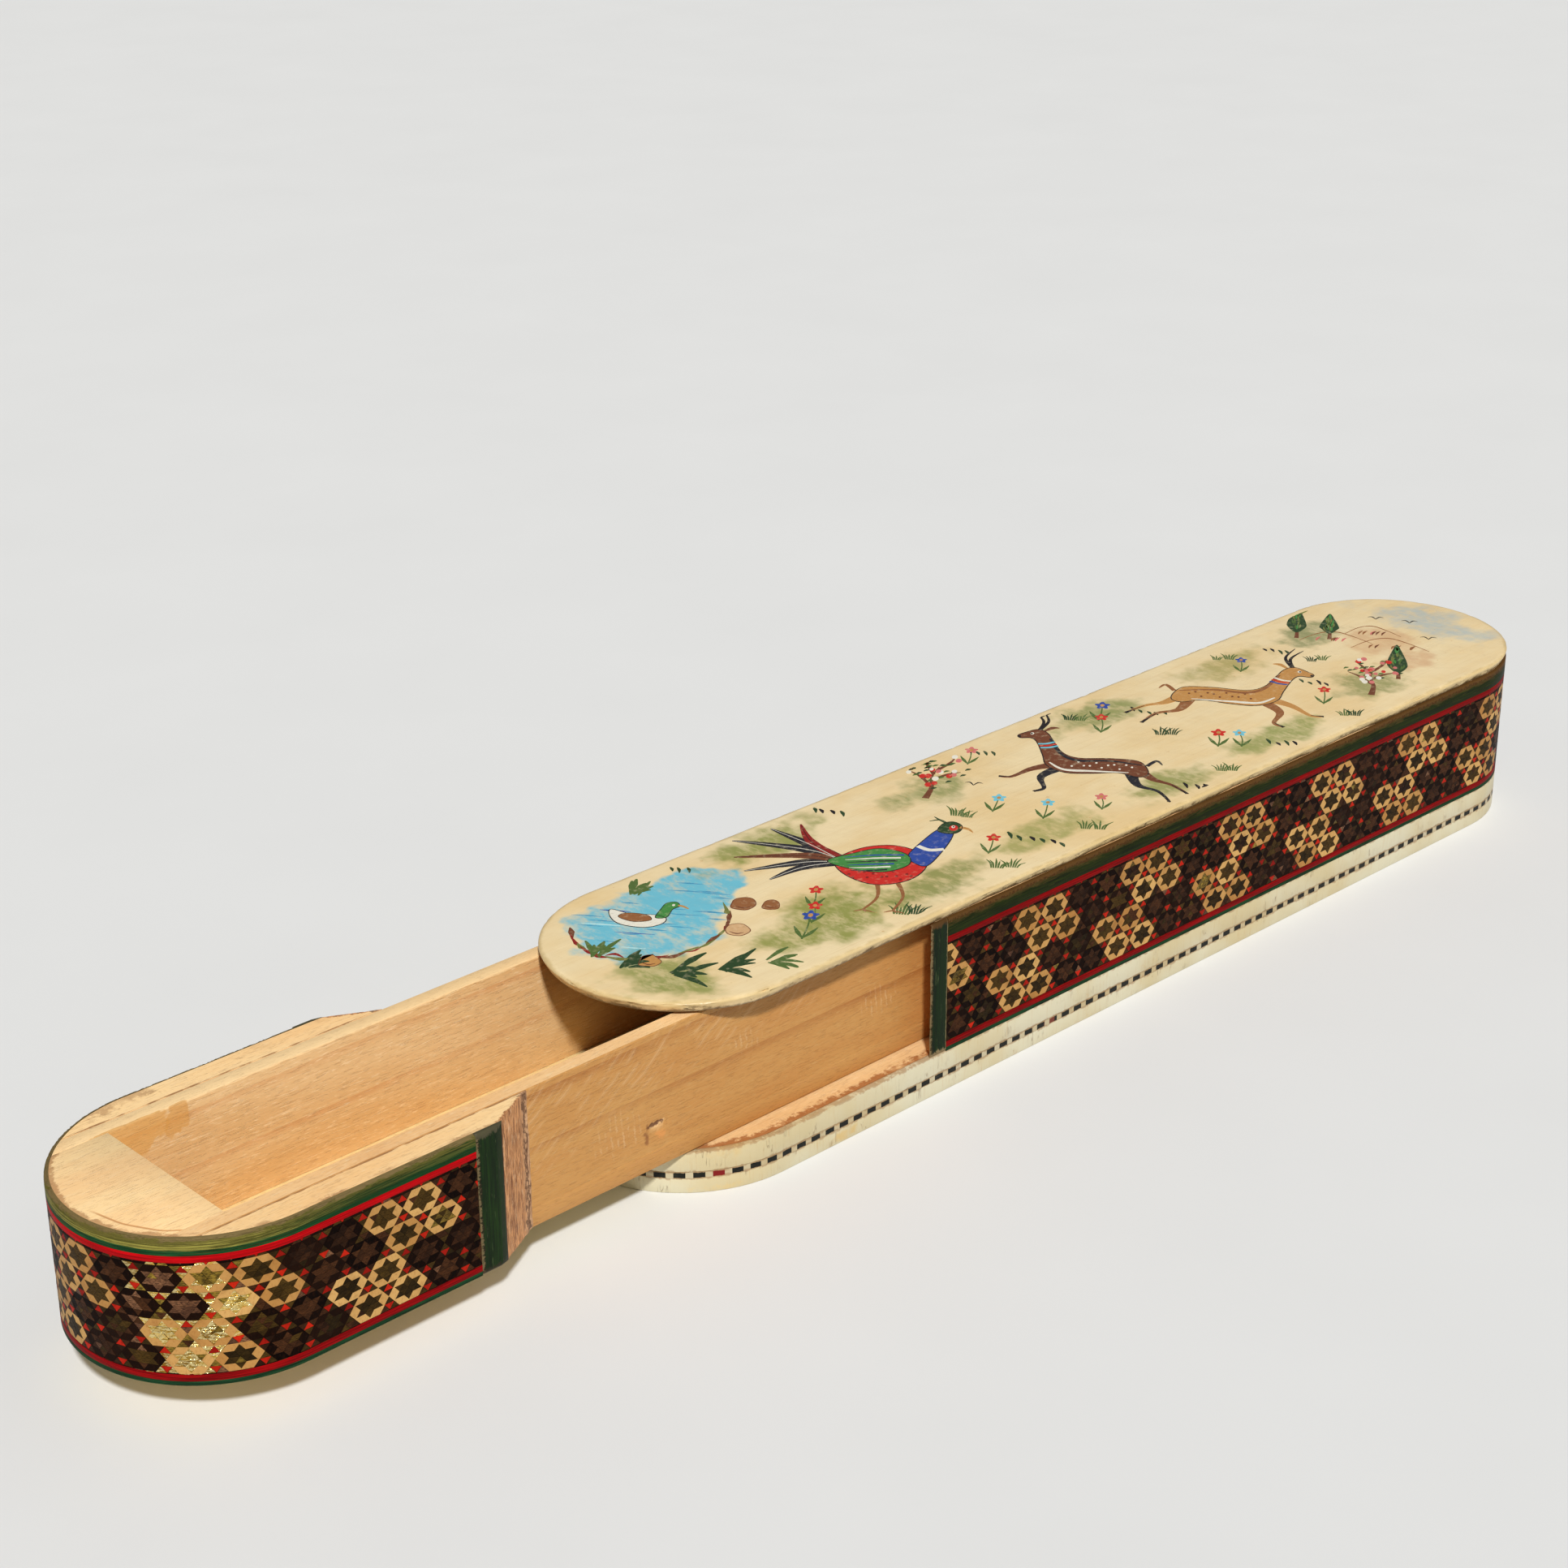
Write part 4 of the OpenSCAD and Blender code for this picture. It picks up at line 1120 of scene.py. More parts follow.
def topPlate(settings):
    low, high = boxOf("top_plate")
    centre, radius = sleeveWrap["centre"], sleeveWrap["radius"]
    outline = []  # direction out, and the point that it starts from
    for end in (1, -1):
        for i in range(settings["arcSteps"] + 1):
            angle = -math.pi / 2 + math.pi * i / settings["arcSteps"]
            outline.append((end * centre, end * math.cos(angle), end * math.sin(angle)))
        sideSteps = int(2 * centre / settings["sideStep"])
        for i in range(1, sideSteps):
            outline.append((end * (centre - 2 * centre * i / sideSteps), 0.0, float(end)))
    rings = []
    for k, (inset, rise) in enumerate(settings["rings"]):
        ring = []
        for base, outX, outY in outline:
            px, py = base + outX * radius, outY * radius
            worn = 0.5 + 0.5 * wobble(px * 0.11, py * 0.11, 3.0)
            nick = max(wobble(px * 0.7, py * 0.7, 7.0 + 0.5 * k) - 0.2, 0.0)
            chip = settings["chip"] * nick * (1.4 if k in (3, 4, 5, 6) else 0.6)
            back = inset * (0.75 + 0.6 * worn) + chip
            drop = 0.2 * nick if k in (5, 6, 7) else 0.0
            ring.append((base + outX * (radius - back), outY * (radius - back), low.z + rise - drop))
        rings.append(ring)
    points, faces = loft(rings)
    finish = plateFinish(settings, high.z)
    return makePiece("topPlate", points, faces, "sleeve", [finish], ["top_plate"], "painted_bone",
                     crease=settings["crease"])


topPlate(plateSettings)
print("pen box: top plate done")


# Picture on the plate, in thin raised paint: a pond, birds, gazelles, flowers and trees in a garden

pictureSettings = {
    "up": (0.8, 0.6), "tall": 1.55, "edge": 20.5, "layer": 0.008, "step": 0.001, "thick": 0.012, "seed": 5,
    "thin": (238, 222, 184), "streak": (120, 104, 84), "rough": (0.3, 0.5), "gloss": 0.2, "relief": 0.015,
    "paints": {
        "ink": (34, 28, 30), "black": (40, 38, 44), "white": (236, 230, 212), "red": (206, 44, 36),
        "darkRed": (142, 34, 28), "blue": (48, 76, 158), "sky": (116, 196, 214), "deepSky": (74, 150, 184),
        "foam": (184, 226, 228), "brown": (116, 66, 42), "fawn": (150, 96, 56), "ochre": (196, 142, 78),
        "sand": (214, 172, 124), "leaf": (84, 108, 52), "darkLeaf": (44, 70, 38), "olive": (118, 122, 62),
        "green": (70, 138, 66), "rose": (214, 118, 112),
    },
}
picture = {"points": [], "faces": [], "dyes": [], "strokes": 0}


def paintFinish(settings):
    finish, tree, shader = newFinish("miniaturePaint")
    point = ownPoint(tree)
    dye = put(tree, "Attribute", {}, out="Color", attribute_name="dye")
    mottled = cloud(tree, point, 0.9, 4.0, 0.65)
    colour = blend(tree, fade(tree, mottled, 0.5, 0.8, 0.0, 0.35), dye, settings["thin"])
    streaks = cloud(tree, point, (1.2, 4.0, 1.0), 3.0)
    colour = blend(tree, fade(tree, streaks, 0.5, 0.8, 0.0, 0.35), colour, settings["streak"], "MULTIPLY")
    surface(tree, shader, colour, fade(tree, mottled, 0.3, 0.7, *settings["rough"]), settings["gloss"])
    relief(tree, shader, mottled, settings["relief"])
    return finish


def onPlate(x, y):  # keeps a painted point on the plate's flat top
    over = max(abs(x) - sleeveWrap["centre"], 0.0)
    reach = math.hypot(over, y)
    if reach <= pictureSettings["edge"]:
        return x, y
    share = pictureSettings["edge"] / reach
    if over > 0:
        x = math.copysign(sleeveWrap["centre"] + over * share, x)
    return x, y * share


def frameAt(x, y, size=1.0, flip=1, tall=pictureSettings["tall"]):  # a motif's right and up on the plate
    upX, upY = pictureSettings["up"]

    def place(a, b):
        a, b = a * size * flip, b * size * tall
        return onPlate(x + a * upY + b * upX, y - a * upX + b * upY)
    return place


def addPaint(top, faces, layer, dye):  # top points with their faces, closed into a thin slab
    base, count = len(picture["points"]), len(top)
    ground = boxOf("top_plate")[0].z + plateSettings["rings"][-1][1]
    high = ground + pictureSettings["thick"] + layer * pictureSettings["layer"]
    high += picture["strokes"] % 8 * pictureSettings["step"]  # crossing strokes don't share a height
    picture["strokes"] += 1
    picture["points"] += [(x, y, high) for x, y in top] + [(x, y, ground - 0.03) for x, y in top]
    sides = {}
    for face in faces:
        for i, here in enumerate(face):
            there = face[(i + 1) % len(face)]
            sides[(here, there)] = True
    for face in faces:
        picture["faces"].append(tuple(base + i for i in face))
        picture["faces"].append(tuple(base + count + i for i in face)[::-1])
    for here, there in sides:
        if (there, here) not in sides:
            picture["faces"].append((base + there, base + here, base + count + here, base + count + there))
    colour = tone(*pictureSettings["paints"][dye])
    picture["dyes"] += [colour] * (len(picture["faces"]) - len(picture["dyes"]))


def curved(a, b, c, d, t):  # a smooth curve from b to c
    square, cube = 2 * a - 5 * b + 4 * c - d, 3 * b - a - 3 * c + d
    return 0.5 * (2 * b + (c - a) * t + square * t * t + cube * t ** 3)


def smooth(points, closed=False, steps=5):
    count, path = len(points), []
    for i in range(count if closed else count - 1):
        if closed:
            p = [points[(i + k) % count] for k in (-1, 0, 1, 2)]
        else:
            p = [points[max(i - 1, 0)], points[i], points[i + 1], points[min(i + 2, count - 1)]]
        for k in range(steps):
            path.append(tuple(curved(*part, k / steps) for part in zip(*p)))
    return path if closed else path + [points[-1]]


def paintStroke(place, points, widths, dye, layer, steps=5):  # widths at the start, middle and end
    path = [place(a, b) for a, b in smooth(points, steps=steps)]
    left, right = [], []
    for i, (x, y) in enumerate(path):
        (ax, ay), (bx, by) = path[max(i - 1, 0)], path[min(i + 1, len(path) - 1)]
        size = math.hypot(bx - ax, by - ay) or 1.0
        t = i / (len(path) - 1)
        if t < 0.5:
            wide = widths[0] + (widths[1] - widths[0]) * 2 * t
        else:
            wide = widths[1] + (widths[2] - widths[1]) * (2 * t - 1)
        outX, outY = -(by - ay) / size * wide / 2, (bx - ax) / size * wide / 2
        left.append((x + outX, y + outY))
        right.append((x - outX, y - outY))
    count = len(path)
    addPaint(left + right, [(i, count + i, count + i + 1, i + 1) for i in range(count - 1)], layer, dye)


def paintShape(place, points, dye, layer, line=0.0, lineDye="ink"):
    outline = smooth(points, True)
    addPaint([place(a, b) for a, b in outline], [tuple(range(len(outline)))], layer, dye)
    if line:
        paintStroke(place, outline + outline[:1], (line, line, line), lineDye, layer + 1, steps=1)


def paintDot(place, a, b, size, dye, layer, sides=10):
    turns = [2 * math.pi * k / sides for k in range(sides)]
    ring = [place(a + size * math.cos(turn), b + size * math.sin(turn)) for turn in turns]
    addPaint(ring, [tuple(range(sides))], layer, dye)


def grassTuft(x, y, size, dye, rand, blades):
    place = frameAt(x, y, size)
    for i in range(blades):
        lean = (i - (blades - 1) / 2) / blades * 3.4 + rand.uniform(-0.3, 0.3)
        tall = rand.uniform(1.6, 3.0)
        foot = (i - (blades - 1) / 2) * 0.42
        paintStroke(place, [(foot, 0.0), (foot + lean * 0.3, tall * 0.6), (foot + lean, tall)],
                    (0.3 * size, 0.42 * size, 0.08), dye, 1, steps=3)


def reeds(x, y, size, dye, rand, turn, blades=6):  # broad dabs that fan out
    place = frameAt(x, y, size)
    for i in range(blades):
        angle = turn + (i - blades / 2) * 0.26 + rand.uniform(-0.1, 0.1)
        far = rand.uniform(3.0, 5.4)
        foot = (rand.uniform(-0.8, 0.8), rand.uniform(-0.3, 0.3))
        middle = (foot[0] + 0.55 * far * math.cos(angle), foot[1] + 0.55 * far * math.sin(angle) + 0.3)
        end = (foot[0] + far * math.cos(angle), foot[1] + far * math.sin(angle))
        paintStroke(place, [foot, middle, end], (0.3 * size, rand.uniform(0.9, 1.3) * size, 0.25), dye,
                    1 + i % 2, steps=4)


def dabs(x, y, size, rand, count):  # a row of slanted marks in the grass
    place = frameAt(x, y, size)
    for i in range(count):
        a, b = 1.7 * i + rand.uniform(-0.3, 0.3), rand.uniform(-0.4, 0.4) - 0.15 * i
        tall = rand.uniform(0.9, 1.7)
        dab = [(a, b), (a - 0.35, b + tall * 0.6), (a - 0.9, b + tall)]
        dye = rand.choice(("darkLeaf", "ink", "darkLeaf"))
        paintStroke(place, dab, (0.15, 0.75 * size, 0.3 * size), dye, 1, steps=3)


def flower(x, y, size, dye, rand, petals=5):
    place = frameAt(x, y, size)
    top = (rand.uniform(-0.7, 0.7), rand.uniform(3.6, 4.8))
    paintStroke(place, [(0, 0), (top[0] * 0.2 + 0.2, top[1] * 0.5), top],
                (0.28 * size, 0.24 * size, 0.2 * size), "leaf", 1, steps=4)
    for side in (-1, 1):
        paintStroke(place, [(0, 0.2), (side * 0.9, 1.3), (side * 1.7, 2.5)], (0.2 * size, 0.7 * size, 0.08),
                    "leaf", 1, steps=4)
    for i in range(petals):
        angle = 2 * math.pi * i / petals + 0.4
        end = (top[0] + 1.25 * math.cos(angle), top[1] + 1.0 * math.sin(angle))
        paintStroke(place, [top, ((top[0] + end[0]) / 2, (top[1] + end[1]) / 2), end],
                    (0.3 * size, 1.0 * size, 0.35 * size), dye, 2, steps=3)
    paintDot(place, top[0], top[1], 0.36, "ochre", 4)


def stone(x, y, size, rand, dye):
    place = frameAt(x, y, size, tall=1.0)
    ring = []
    for k in range(8):
        a = (1.7 + rand.uniform(-0.3, 0.3)) * math.cos(k * math.pi / 4)
        b = (2.0 + rand.uniform(-0.3, 0.3)) * math.sin(k * math.pi / 4)
        ring.append((a, b))
    paintShape(place, ring, dye, 1, line=0.14 * size, lineDye="brown")
    paintStroke(place, [(-1.0, -0.7), (0.1, -1.2), (1.1, -0.7)], (0.1, 0.3 * size, 0.1), "brown", 3)


def pond(rand):  # banks and ripples over the blue wash
    for k in range(22):
        angle = math.radians(150 + 9 * k + rand.uniform(-3, 3))
        x, y = -94.0 + 13.2 * math.cos(angle), 7.0 + 11.6 * math.sin(angle)
        slide = Vector((-math.sin(angle), 0.8 * math.cos(angle))) * rand.uniform(1.2, 3.2)
        bow = rand.uniform(-0.7, 0.7)
        bank = [(x - slide.x, y - slide.y), (x + bow, y + bow), (x + slide.x, y + slide.y)]
        widths = (0.08, rand.uniform(0.4, 1.1), 0.08)
        paintStroke(onPlate, bank, widths, rand.choice(("brown", "darkRed", "brown", "olive")), 1, steps=4)
    for k in range(24):
        x, y = -91.0 + rand.uniform(-12, 12), 8.0 + rand.uniform(-8, 8)
        far = rand.uniform(1.2, 3.6)
        ripple = [(x - 0.6 * far, y + 0.8 * far), (x, y + rand.uniform(-0.3, 0.3)),
                  (x + 0.6 * far, y - 0.8 * far)]
        widths = (0.05, rand.uniform(0.25, 0.6), 0.05)
        paintStroke(onPlate, ripple, widths, rand.choice(("foam", "deepSky", "deepSky", "blue")), 0,
                    steps=3)


def duck(x, y, size, flip):
    place = frameAt(x, y, size, flip)
    body = [(-4.2, 0.6), (-2.5, -0.6), (0.6, -0.9), (2.6, -0.1), (2.9, 1.0), (1.2, 1.5), (-1.8, 1.4),
            (-4.6, 2.0)]
    wing = [(-3.2, 0.7), (-1.0, 0.0), (1.1, 0.5), (0.2, 1.4), (-2.4, 1.5)]
    neck = [(1.5, 1.0), (1.7, 2.6), (2.1, 3.8), (3.3, 4.1), (3.9, 3.4), (3.2, 2.7), (2.9, 1.2)]
    paintShape(place, body, "white", 2, line=0.16)
    paintShape(place, wing, "fawn", 4, line=0.12)
    paintShape(place, neck, "green", 3, line=0.14)
    paintStroke(place, [(3.7, 3.5), (4.4, 3.4), (5.2, 3.0)], (0.6, 0.5, 0.2), "ochre", 4, steps=3)
    paintDot(place, 3.1, 3.5, 0.2, "white", 5)


def pheasant(x, y, size, flip):
    place = frameAt(x, y, size, flip)
    tail = (((-25, 4.5), 3.4, "black", 2.6), ((-23.5, 0.5), 2.0, "brown", 2.2),
            ((-21, -2.6), 0.4, "black", 2.4), ((-19.5, 8.0), 4.6, "black", 2.4),
            ((-16.5, -4.2), -0.8, "black", 2.0), ((-15, 9.6), 5.2, "darkRed", 1.8))
    for end, bend, dye, wide in tail:
        feather = [(-5.0, 1.0), (-12.0, bend), end]
        paintStroke(place, feather, (wide * 0.8 * size, wide * size, 0.3), dye, 2, steps=7)
        vein = "white" if dye == "black" else "ink"
        paintStroke(place, [(-6.0, 1.1), (-12.0, bend), end], (0.14, 0.14, 0.06), vein, 4, steps=7)
    for foot in (((0.2, -3.0), (1.0, -6.6), (-0.6, -9.6)), ((3.2, -2.6), (4.9, -6.0), (4.0, -9.4))):
        paintStroke(place, list(foot), (0.9 * size, 0.5 * size, 0.4 * size), "fawn", 2)
        for toe in (-1.3, 0.6, 1.9):
            a, b = foot[2]
            claw = [(a, b), (a + toe * 0.6, b - 0.3), (a + toe, b - 0.5)]
            paintStroke(place, claw, (0.35 * size, 0.3 * size, 0.1), "fawn", 2, steps=3)
    breast = [(-7.4, 1.2), (-4, 4.6), (1, 5.8), (5.5, 4.4), (7.2, 1.2), (5, -2.3), (0, -3.8), (-5, -2.0)]
    neck = [(3.8, 3.6), (5.8, 8.0), (7.6, 10.6), (9.6, 11.0), (10.0, 8.8), (9.0, 5.0), (7.3, 1.4),
            (5.2, 1.8)]
    collar = [(4.9, 6.0), (6.9, 5.2), (9.2, 5.6)]
    head = [(7.4, 10.0), (7.9, 11.9), (9.4, 12.6), (11.0, 11.8), (11.0, 10.4), (9.6, 9.5)]
    beak = [(10.8, 11.3), (12.2, 11.0), (13.1, 10.2)]
    wing = [(-8.6, 1.0), (-5, 3.2), (-1, 4.8), (3.4, 3.9), (4.4, 1.4), (1, -0.7), (-4, -0.6)]
    paintShape(place, breast, "red", 3, line=0.2)
    paintShape(place, neck, "blue", 4, line=0.18)
    paintStroke(place, collar, (0.9 * size, 1.0 * size, 0.9 * size), "white", 6)
    paintShape(place, head, "darkLeaf", 5, line=0.16)
    paintStroke(place, beak, (0.9 * size, 0.6 * size, 0.1), "ochre", 6, steps=3)
    paintDot(place, 9.8, 11.0, 0.75, "red", 6)
    paintDot(place, 9.7, 11.3, 0.32, "white", 7)
    paintDot(place, 9.75, 11.3, 0.16, "ink", 8)
    for tip in ((6.2, 13.6), (5.6, 12.4)):
        crest = [(8.4, 12.2), (7.2, 12.9), tip]
        paintStroke(place, crest, (0.5 * size, 0.4 * size, 0.08), "darkLeaf", 5, steps=3)
    paintShape(place, wing, "green", 5, line=0.18)
    for k in range(6):
        b = 3.6 - 0.75 * k
        feather = [(3.2 - 0.4 * k, b), (-1.5, b - 0.5), (-6.2 + 0.35 * k, b - 1.5 + 0.15 * k)]
        dye = ("blue", "white", "black")[k % 3]
        paintStroke(place, feather, (0.5 * size, 0.42 * size, 0.1), dye, 7, steps=4)
    for k in range(14):
        b = -1.3 - 0.9 * math.sin(k * 1.9) - 0.05 * (k - 7) ** 2 * 0.2
        paintDot(place, -4.5 + 0.75 * k, b, 0.26, "darkRed", 5)


def gazelle(x, y, size, flip, coat, shade, cloth):
    place = frameAt(x, y, size, flip)
    legs = (((7.4, 2.6), (11.6, 0.8), (15.0, -1.9), (17.4, -2.0)),
            ((6.2, 1.8), (9.4, -1.4), (8.4, -4.8), (10.2, -6.0)),
            ((-8.6, 2.6), (-11.8, -0.2), (-15.4, -1.6), (-18.8, -4.2)),
            ((-7.2, 2.0), (-9.0, -2.2), (-13.0, -3.8), (-15.6, -7.0)))
    for k, leg in enumerate(legs):
        dye, layer = (shade, 2) if k % 2 else (coat, 3)
        paintStroke(place, list(leg), (2.9 * size, 1.0 * size, 0.5 * size), dye, layer, steps=6)
        knee, hoof = leg[2:]
        shin = [knee, ((knee[0] + hoof[0]) / 2, (knee[1] + hoof[1]) / 2), hoof]
        paintStroke(place, shin, (0.12, 0.3 * size, 0.75 * size), "ink", 4, steps=3)
    body = [(-10.4, 3.0), (-8.4, 5.2), (-3, 5.5), (3, 5.1), (6.3, 6.6), (8.6, 10.4), (9.9, 12.6),
            (11.9, 13.7), (14.4, 12.4), (15.6, 11.4), (15.0, 10.6), (12.8, 10.7), (11.5, 9.2), (10.0, 5.4),
            (8.8, 2.2), (5, 0.3), (0, 0.5), (-5, 1.2), (-8.6, 0.2), (-10.6, 0.9)]
    back = [(-9.4, 3.9), (-3, 4.7), (3, 4.3), (6.6, 6.2), (9.2, 10.8)]
    belly = [(-7.0, 1.4), (0, 1.2), (5.4, 1.2), (8.4, 3.2)]
    tail = [(-10.3, 3.8), (-12.0, 5.6), (-13.2, 4.4)]
    paintShape(place, body, coat, 4, line=0.2)
    paintStroke(place, back, (0.3, 1.1 * size, 0.4), shade, 6, steps=6)
    paintStroke(place, belly, (0.2, 1.0 * size, 0.3), "white", 6, steps=6)
    paintStroke(place, tail, (0.9 * size, 0.8 * size, 0.2), shade, 3, steps=4)
    for tip, bend in (((13.6, 19.6), (11.2, 16.6)), ((12.0, 20.2), (10.2, 16.8))):
        paintStroke(place, [(11.6, 13.5), bend, tip], (0.85 * size, 0.6 * size, 0.1), "ink", 5, steps=6)
    paintStroke(place, [(10.8, 13.0), (9.2, 14.4), (7.8, 14.5)], (0.3, 1.1 * size, 0.1), coat, 5, steps=4)
    paintDot(place, 12.9, 12.2, 0.38, "white", 6)
    paintDot(place, 13.0, 12.2, 0.22, "ink", 7)
    paintDot(place, 15.2, 11.1, 0.3, "ink", 6)
    for k in range(3):  # a ribbon round the neck
        turn = [(7.4 + 0.4 * k, 8.6 + 0.6 * k), (9.0 + 0.35 * k, 7.9 + 0.6 * k),
                (10.7 + 0.3 * k, 7.7 + 0.6 * k)]
        paintStroke(place, turn, (0.55 * size, 0.6 * size, 0.5 * size), cloth[k % len(cloth)], 7, steps=3)
    for k in range(11):
        fleck = "brown" if coat == "ochre" else "white"
        paintDot(place, -7.5 + 1.15 * k, 3.1 + 0.8 * math.sin(2.3 * k), 0.24, fleck, 6)


def cypress(x, y, tall, rand):
    place = frameAt(x, y, 1.0)
    paintStroke(place, [(0, -1.4), (0.1, 0.5), (0, 2.0)], (0.9, 0.7, 0.6), "brown", 1, steps=3)
    paintShape(place, [(0, 0.6), (1.7, 2.4), (1.9, tall * 0.4), (1.1, tall * 0.75), (0.2, tall),
                       (-0.9, tall * 0.75), (-1.9, tall * 0.4), (-1.6, 2.4)], "darkLeaf", 2)
    for k in range(26):
        b = 1.5 + (tall - 3.0) * rand.random()
        a = rand.uniform(-1.2, 1.2) * (1 - b / tall)
        paintStroke(place, [(a, b), (a * 1.4, b + 0.7), (a * 1.5, b + 1.5)], (0.1, 0.4, 0.08),
                    rand.choice(("leaf", "olive", "green")), 4, steps=3)


def blossomTree(x, y, size, rand):
    place = frameAt(x, y, size)
    twigs = [[(0, 0), (0.5, 3.0), (0.0, 6.0), (0.8, 9.0)], [(0.2, 3.6), (-2.0, 6.0), (-4.2, 7.4)],
             [(0.2, 5.2), (2.6, 7.0), (4.8, 7.8)], [(0.2, 6.8), (-1.4, 9.4), (-2.6, 11.0)],
             [(0.6, 8.0), (2.4, 10.2), (3.2, 12.0)]]
    for k, twig in enumerate(twigs):
        paintStroke(place, twig, ((1.3 if k == 0 else 0.7) * size, 0.6 * size, 0.15), "brown", 2)
    for k in range(46):
        twig = smooth(rand.choice(twigs[1:] + twigs[:1]), steps=6)
        a, b = twig[rand.randrange(len(twig) // 3, len(twig))]
        a, b = a + rand.gauss(0, 0.9), b + rand.gauss(0, 0.8)
        if rand.random() < 0.55:
            paintStroke(place, [(a, b), (a + 0.5, b + 0.4), (a + 1.0, b + 0.5)], (0.1, 0.7 * size, 0.1),
                        rand.choice(("leaf", "darkLeaf")), 3, steps=3)
        else:
            paintDot(place, a, b, rand.uniform(0.4, 0.65), rand.choice(("rose", "red", "white")), 4)


def hills(rand):  # broken outlines over the sandy washes
    for x, y, wide, tall in ((84, 6, 7.0, 3.6), (88, -4, 7.5, 4.0), (92, 3, 5.5, 3.4)):
        place = frameAt(x, y, 1.0)
        paintStroke(place, [(-wide, 0), (-wide * 0.5, tall * 0.75), (0, tall), (wide * 0.5, tall * 0.6),
                            (wide, 0)], (0.1, 0.4, 0.1), "fawn", 1)
        for k in range(6):
            a = rand.uniform(-wide * 0.6, wide * 0.6)
            paintStroke(place, [(a, 0.2), (a + 0.3, 1.0), (a + 0.9, 1.6)], (0.1, 0.5, 0.08),
                        rand.choice(("fawn", "rose", "brown")), 2, steps=3)


def gardenPicture(settings):
    rand = random.Random(settings["seed"])
    pond(rand)
    duck(-95.0, 8.0, 1.25, 1)
    for x, y, size in ((-79, 1.5, 1.2), (-76, -1.8, 0.9), (-103.0, -3.0, 1.0), (-86.0, -4.6, 1.1)):
        stone(x, y, size, rand, rand.choice(("sand", "fawn", "ochre")))
    for x, y, size, turn in ((-107, -2, 1.1, 0.9), (-103, -9, 1.3, 0.35), (-97, -13.5, 1.2, 0.6),
                             (-108, 4, 0.9, 1.6), (-90, -16, 1.0, 0.4), (-89, 16.5, 0.9, 1.3)):
        reeds(x, y, size, rand.choice(("darkLeaf", "olive", "leaf")), rand, turn)
    hills(rand)
    cypress(82, 14, 10.0, rand)
    cypress(86, 9.0, 8.0, rand)
    cypress(78, -13, 10.5, rand)
    blossomTree(66, -15.5, 1.0, rand)
    blossomTree(-28, 10.0, 1.0, rand)
    pheasant(-54.0, -4.5, 1.04, 1)
    gazelle(0.0, -3.5, 0.92, -1, "brown", "black", ("sky", "red", "sky"))
    gazelle(43.0, 0.0, 1.0, 1, "ochre", "fawn", ("blue", "red", "white"))
    for x, y, size in ((-64, -19, 1.0), (-40, -18, 1.0), (-18, -18, 0.9), (-30, 1, 0.9), (18, -18.5, 0.9),
                       (16, 16, 0.9), (23, 0, 0.9), (54, -18, 0.9), (60, 16, 0.8), (72, 3, 0.8)):
        for k in range(2):
            tuftX = x + 1.6 * k + rand.uniform(-0.5, 0.5)
            tuftY = y - 1.4 * k + rand.uniform(-0.3, 0.3)
            tuftSize = size * rand.uniform(0.8, 1.05)
            dye = rand.choice(("darkLeaf", "leaf"))
            grassTuft(tuftX, tuftY, tuftSize, dye, rand, rand.choice((5, 6)))
    for x, y, count in ((-79, 18.5, 3), (-46, 19, 4), (-30, -12, 6), (-8, 18, 4), (8, -19, 5), (28, 10, 5),
                        (34, -17, 4), (70, 12, 4), (62, -3, 4)):
        dabs(x, y, rand.uniform(0.8, 1.05), rand, count)
    for x, y, dye in ((-76, -11, "red"), (-72, -7, "red"), (-81, -14, "blue"), (-37, -13, "red"),
                      (-10, -14.5, "rose"), (-24, -2, "sky"), (-20, -10, "sky"), (16, 8, "red"),
                      (20, 12, "blue"), (26, -11, "red"), (29, -14, "sky"), (58, 9, "blue"),
                      (56, -12, "red"), (-12, 15, "rose")):
        flower(x, y, rand.uniform(0.9, 1.15), dye, rand)
    for x, y in ((100, 8), (103, 2), (98, -6), (-18, 8)):  # birds far off
        place = frameAt(x, y, 0.8)
        paintStroke(place, [(-2.0, 0.8), (-0.9, 1.0), (0, 0)], (0.06, 0.35, 0.15), "ink", 1, steps=4)
        paintStroke(place, [(0, 0), (0.9, 1.0), (2.0, 0.8)], (0.15, 0.35, 0.06), "ink", 1, steps=4)
    finish = paintFinish(settings)
    piece = makePiece("gardenPicture", picture["points"], picture["faces"], "sleeve", [finish], None,
                      "painted_bone")
    dyes = piece.data.attributes.new("dye", "FLOAT_COLOR", "FACE")
    dyes.data.foreach_set("color", [part for dye in picture["dyes"] for part in dye])
    return piece


gardenPicture(pictureSettings)
print("pen box: picture done,", len(picture["faces"]), "faces")


# Floor, light and camera

studioSettings = {  # a lamp's azimuth, height and softness in degrees, then its power
    "floor": (229, 229, 227), "floorRough": 0.85, "floorHalf": 40, "floorDrop": -2e-5, "world": 0.18,
    "keyLamp": (-36.0, 46.0, 4.5, 3.4), "fillLamp": (55.0, 50.0, 50.0, 0.18),
}
cameraSettings = {  # angles in degrees, lengths in mm, focal length in pixels of the photograph
    "azimuth": -43.59, "height": 23.589, "roll": -0.4, "away": 547.3, "aim": (-20.469, 53.339, 20.0),
    "focal": 3625.0, "image": 1932.0, "sensor": 36.0, "clip": (10.0, 20000.0),
}


def outward(azimuth, height):
    azimuth, height = math.radians(azimuth), math.radians(height)
    flat = math.cos(height)
    return Vector((math.sin(azimuth) * flat, -math.cos(azimuth) * flat, math.sin(height)))


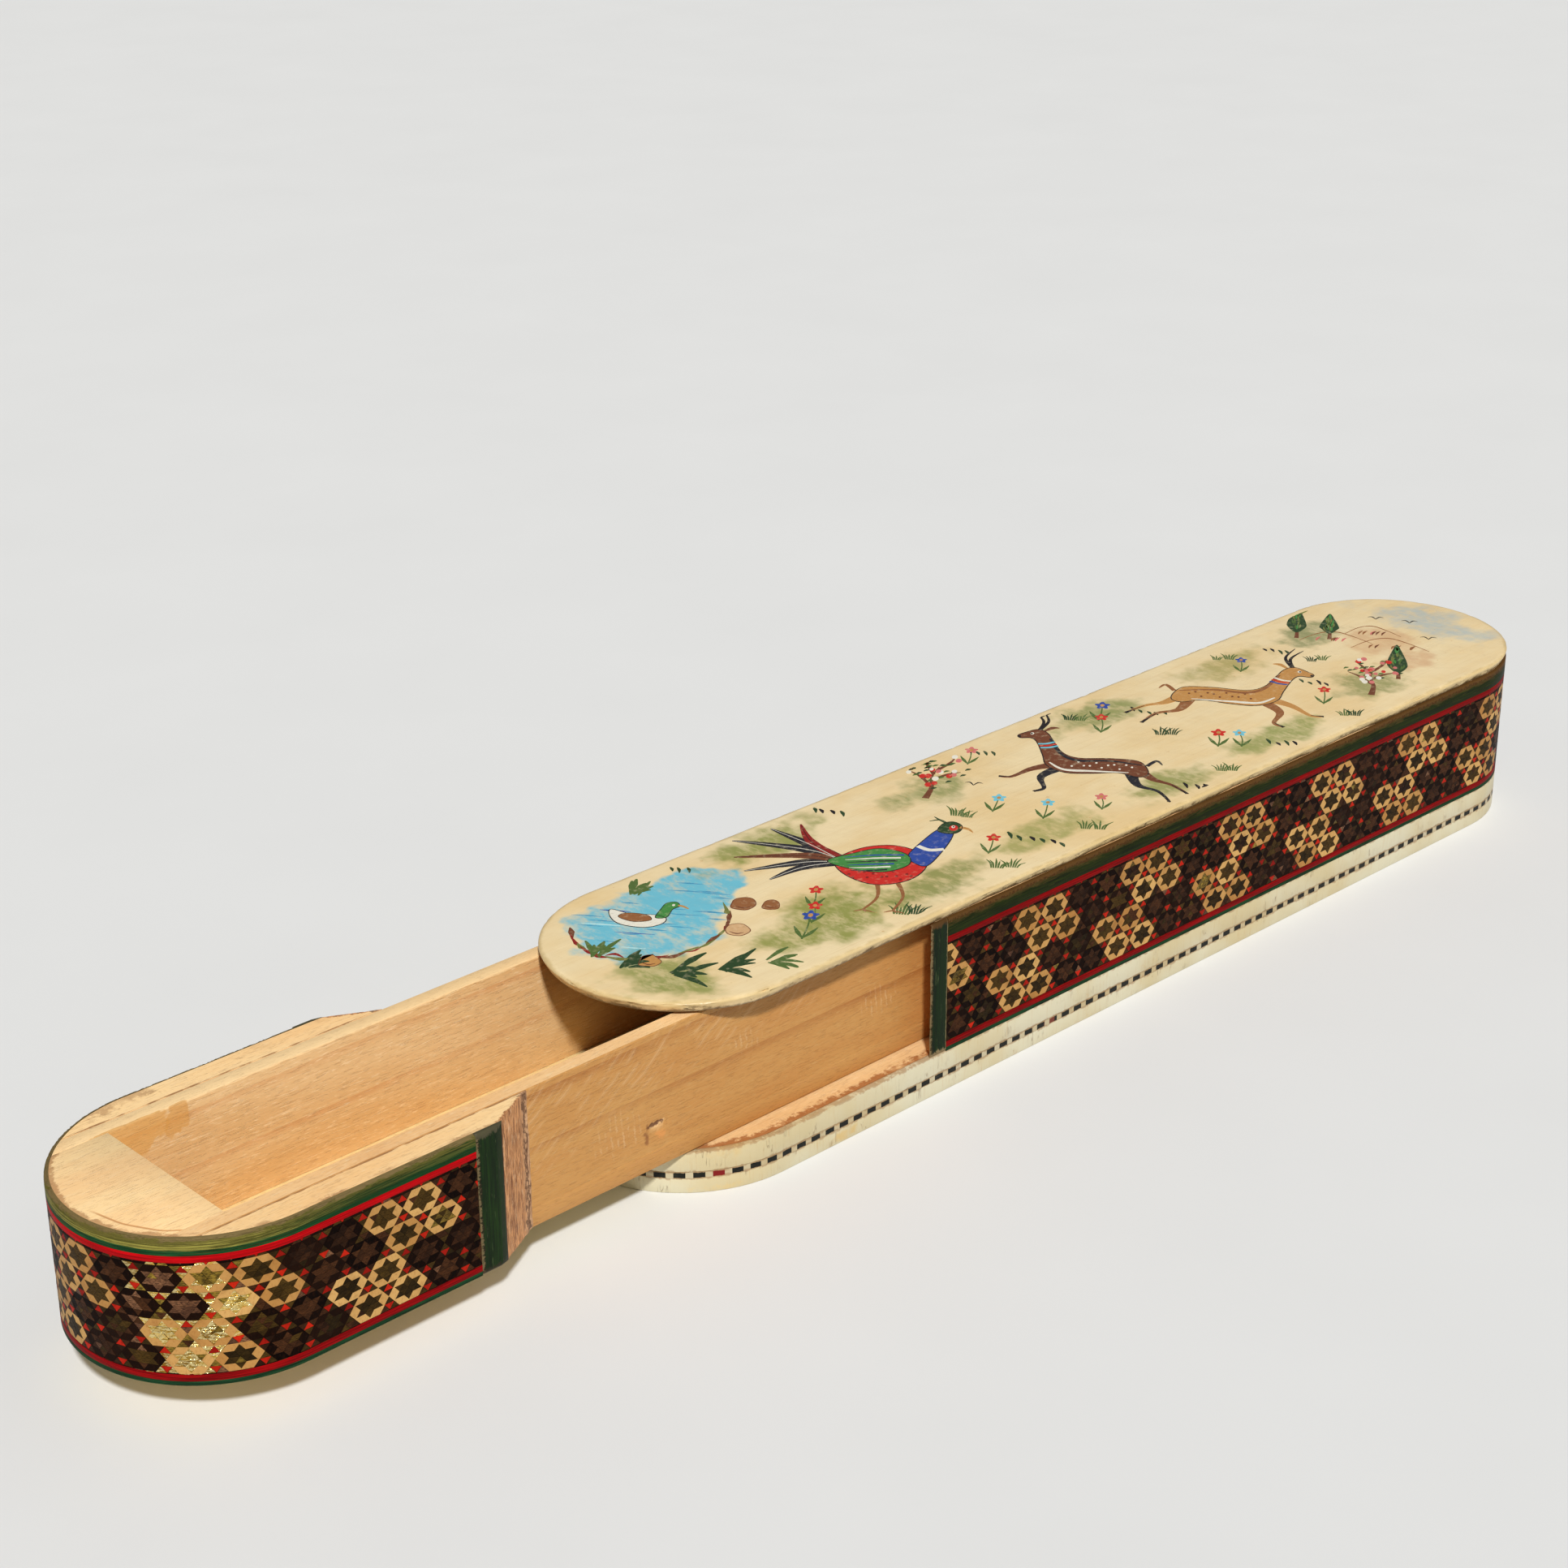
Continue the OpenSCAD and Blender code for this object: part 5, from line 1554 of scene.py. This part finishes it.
def lamp(name, azimuth, height, soft, power):
    light = bpy.data.lights.new(name, "SUN")
    light.angle = math.radians(soft)
    light.energy = power
    holder = bpy.data.objects.new(name, light)
    scene.collection.objects.link(holder)
    direction = outward(azimuth, height)
    holder.location = direction * 2
    holder.rotation_euler = direction.to_track_quat("Z", "Y").to_euler()


def studio(settings):
    mesh = bpy.data.meshes.new("floor")
    half, drop = settings["floorHalf"], settings["floorDrop"]
    corners = [(-half, -half, drop), (half, -half, drop), (half, half, drop), (-half, half, drop)]
    mesh.from_pydata(corners, [], [(0, 1, 2, 3)])
    finish, tree, shader = newFinish("floorPaper")
    paper = cloud(tree, ownPoint(tree), 0.02, 3.0)
    shade = tuple(part - 5 for part in settings["floor"])
    surface(tree, shader, blend(tree, paper, settings["floor"], shade), settings["floorRough"])
    mesh.materials.append(finish)
    floor = bpy.data.objects.new("floor", mesh)
    scene.collection.objects.link(floor)
    lamp("keyLamp", *settings["keyLamp"])
    lamp("fillLamp", *settings["fillLamp"])
    world = bpy.data.worlds.new("studio")
    world.use_nodes = True
    sky = world.node_tree.nodes["Background"]
    sky.inputs["Color"].default_value = (1.0, 1.0, 1.0, 1.0)
    sky.inputs["Strength"].default_value = settings["world"]
    scene.world = world


def photoCamera(settings):
    azimuth, roll = math.radians(settings["azimuth"]), math.radians(settings["roll"])
    back = outward(settings["azimuth"], settings["height"])
    right = Vector((math.cos(azimuth), math.sin(azimuth), 0.0))
    up = back.cross(right)
    right, up = right * math.cos(roll) + up * math.sin(roll), up * math.cos(roll) - right * math.sin(roll)
    lens = bpy.data.cameras.new("photoCamera")
    lens.sensor_width = settings["sensor"]
    lens.lens = settings["focal"] / settings["image"] * settings["sensor"]
    lens.clip_start, lens.clip_end = (part * mm for part in settings["clip"])
    holder = bpy.data.objects.new("photoCamera", lens)
    scene.collection.objects.link(holder)
    place = (Vector(settings["aim"]) + back * settings["away"]) * mm
    holder.matrix_world = Matrix.Translation(place) @ Matrix((right, up, back)).transposed().to_4x4()
    scene.camera = holder


studio(studioSettings)
photoCamera(cameraSettings)
scene.view_settings.view_transform = "Standard"
print("pen box: studio ready")
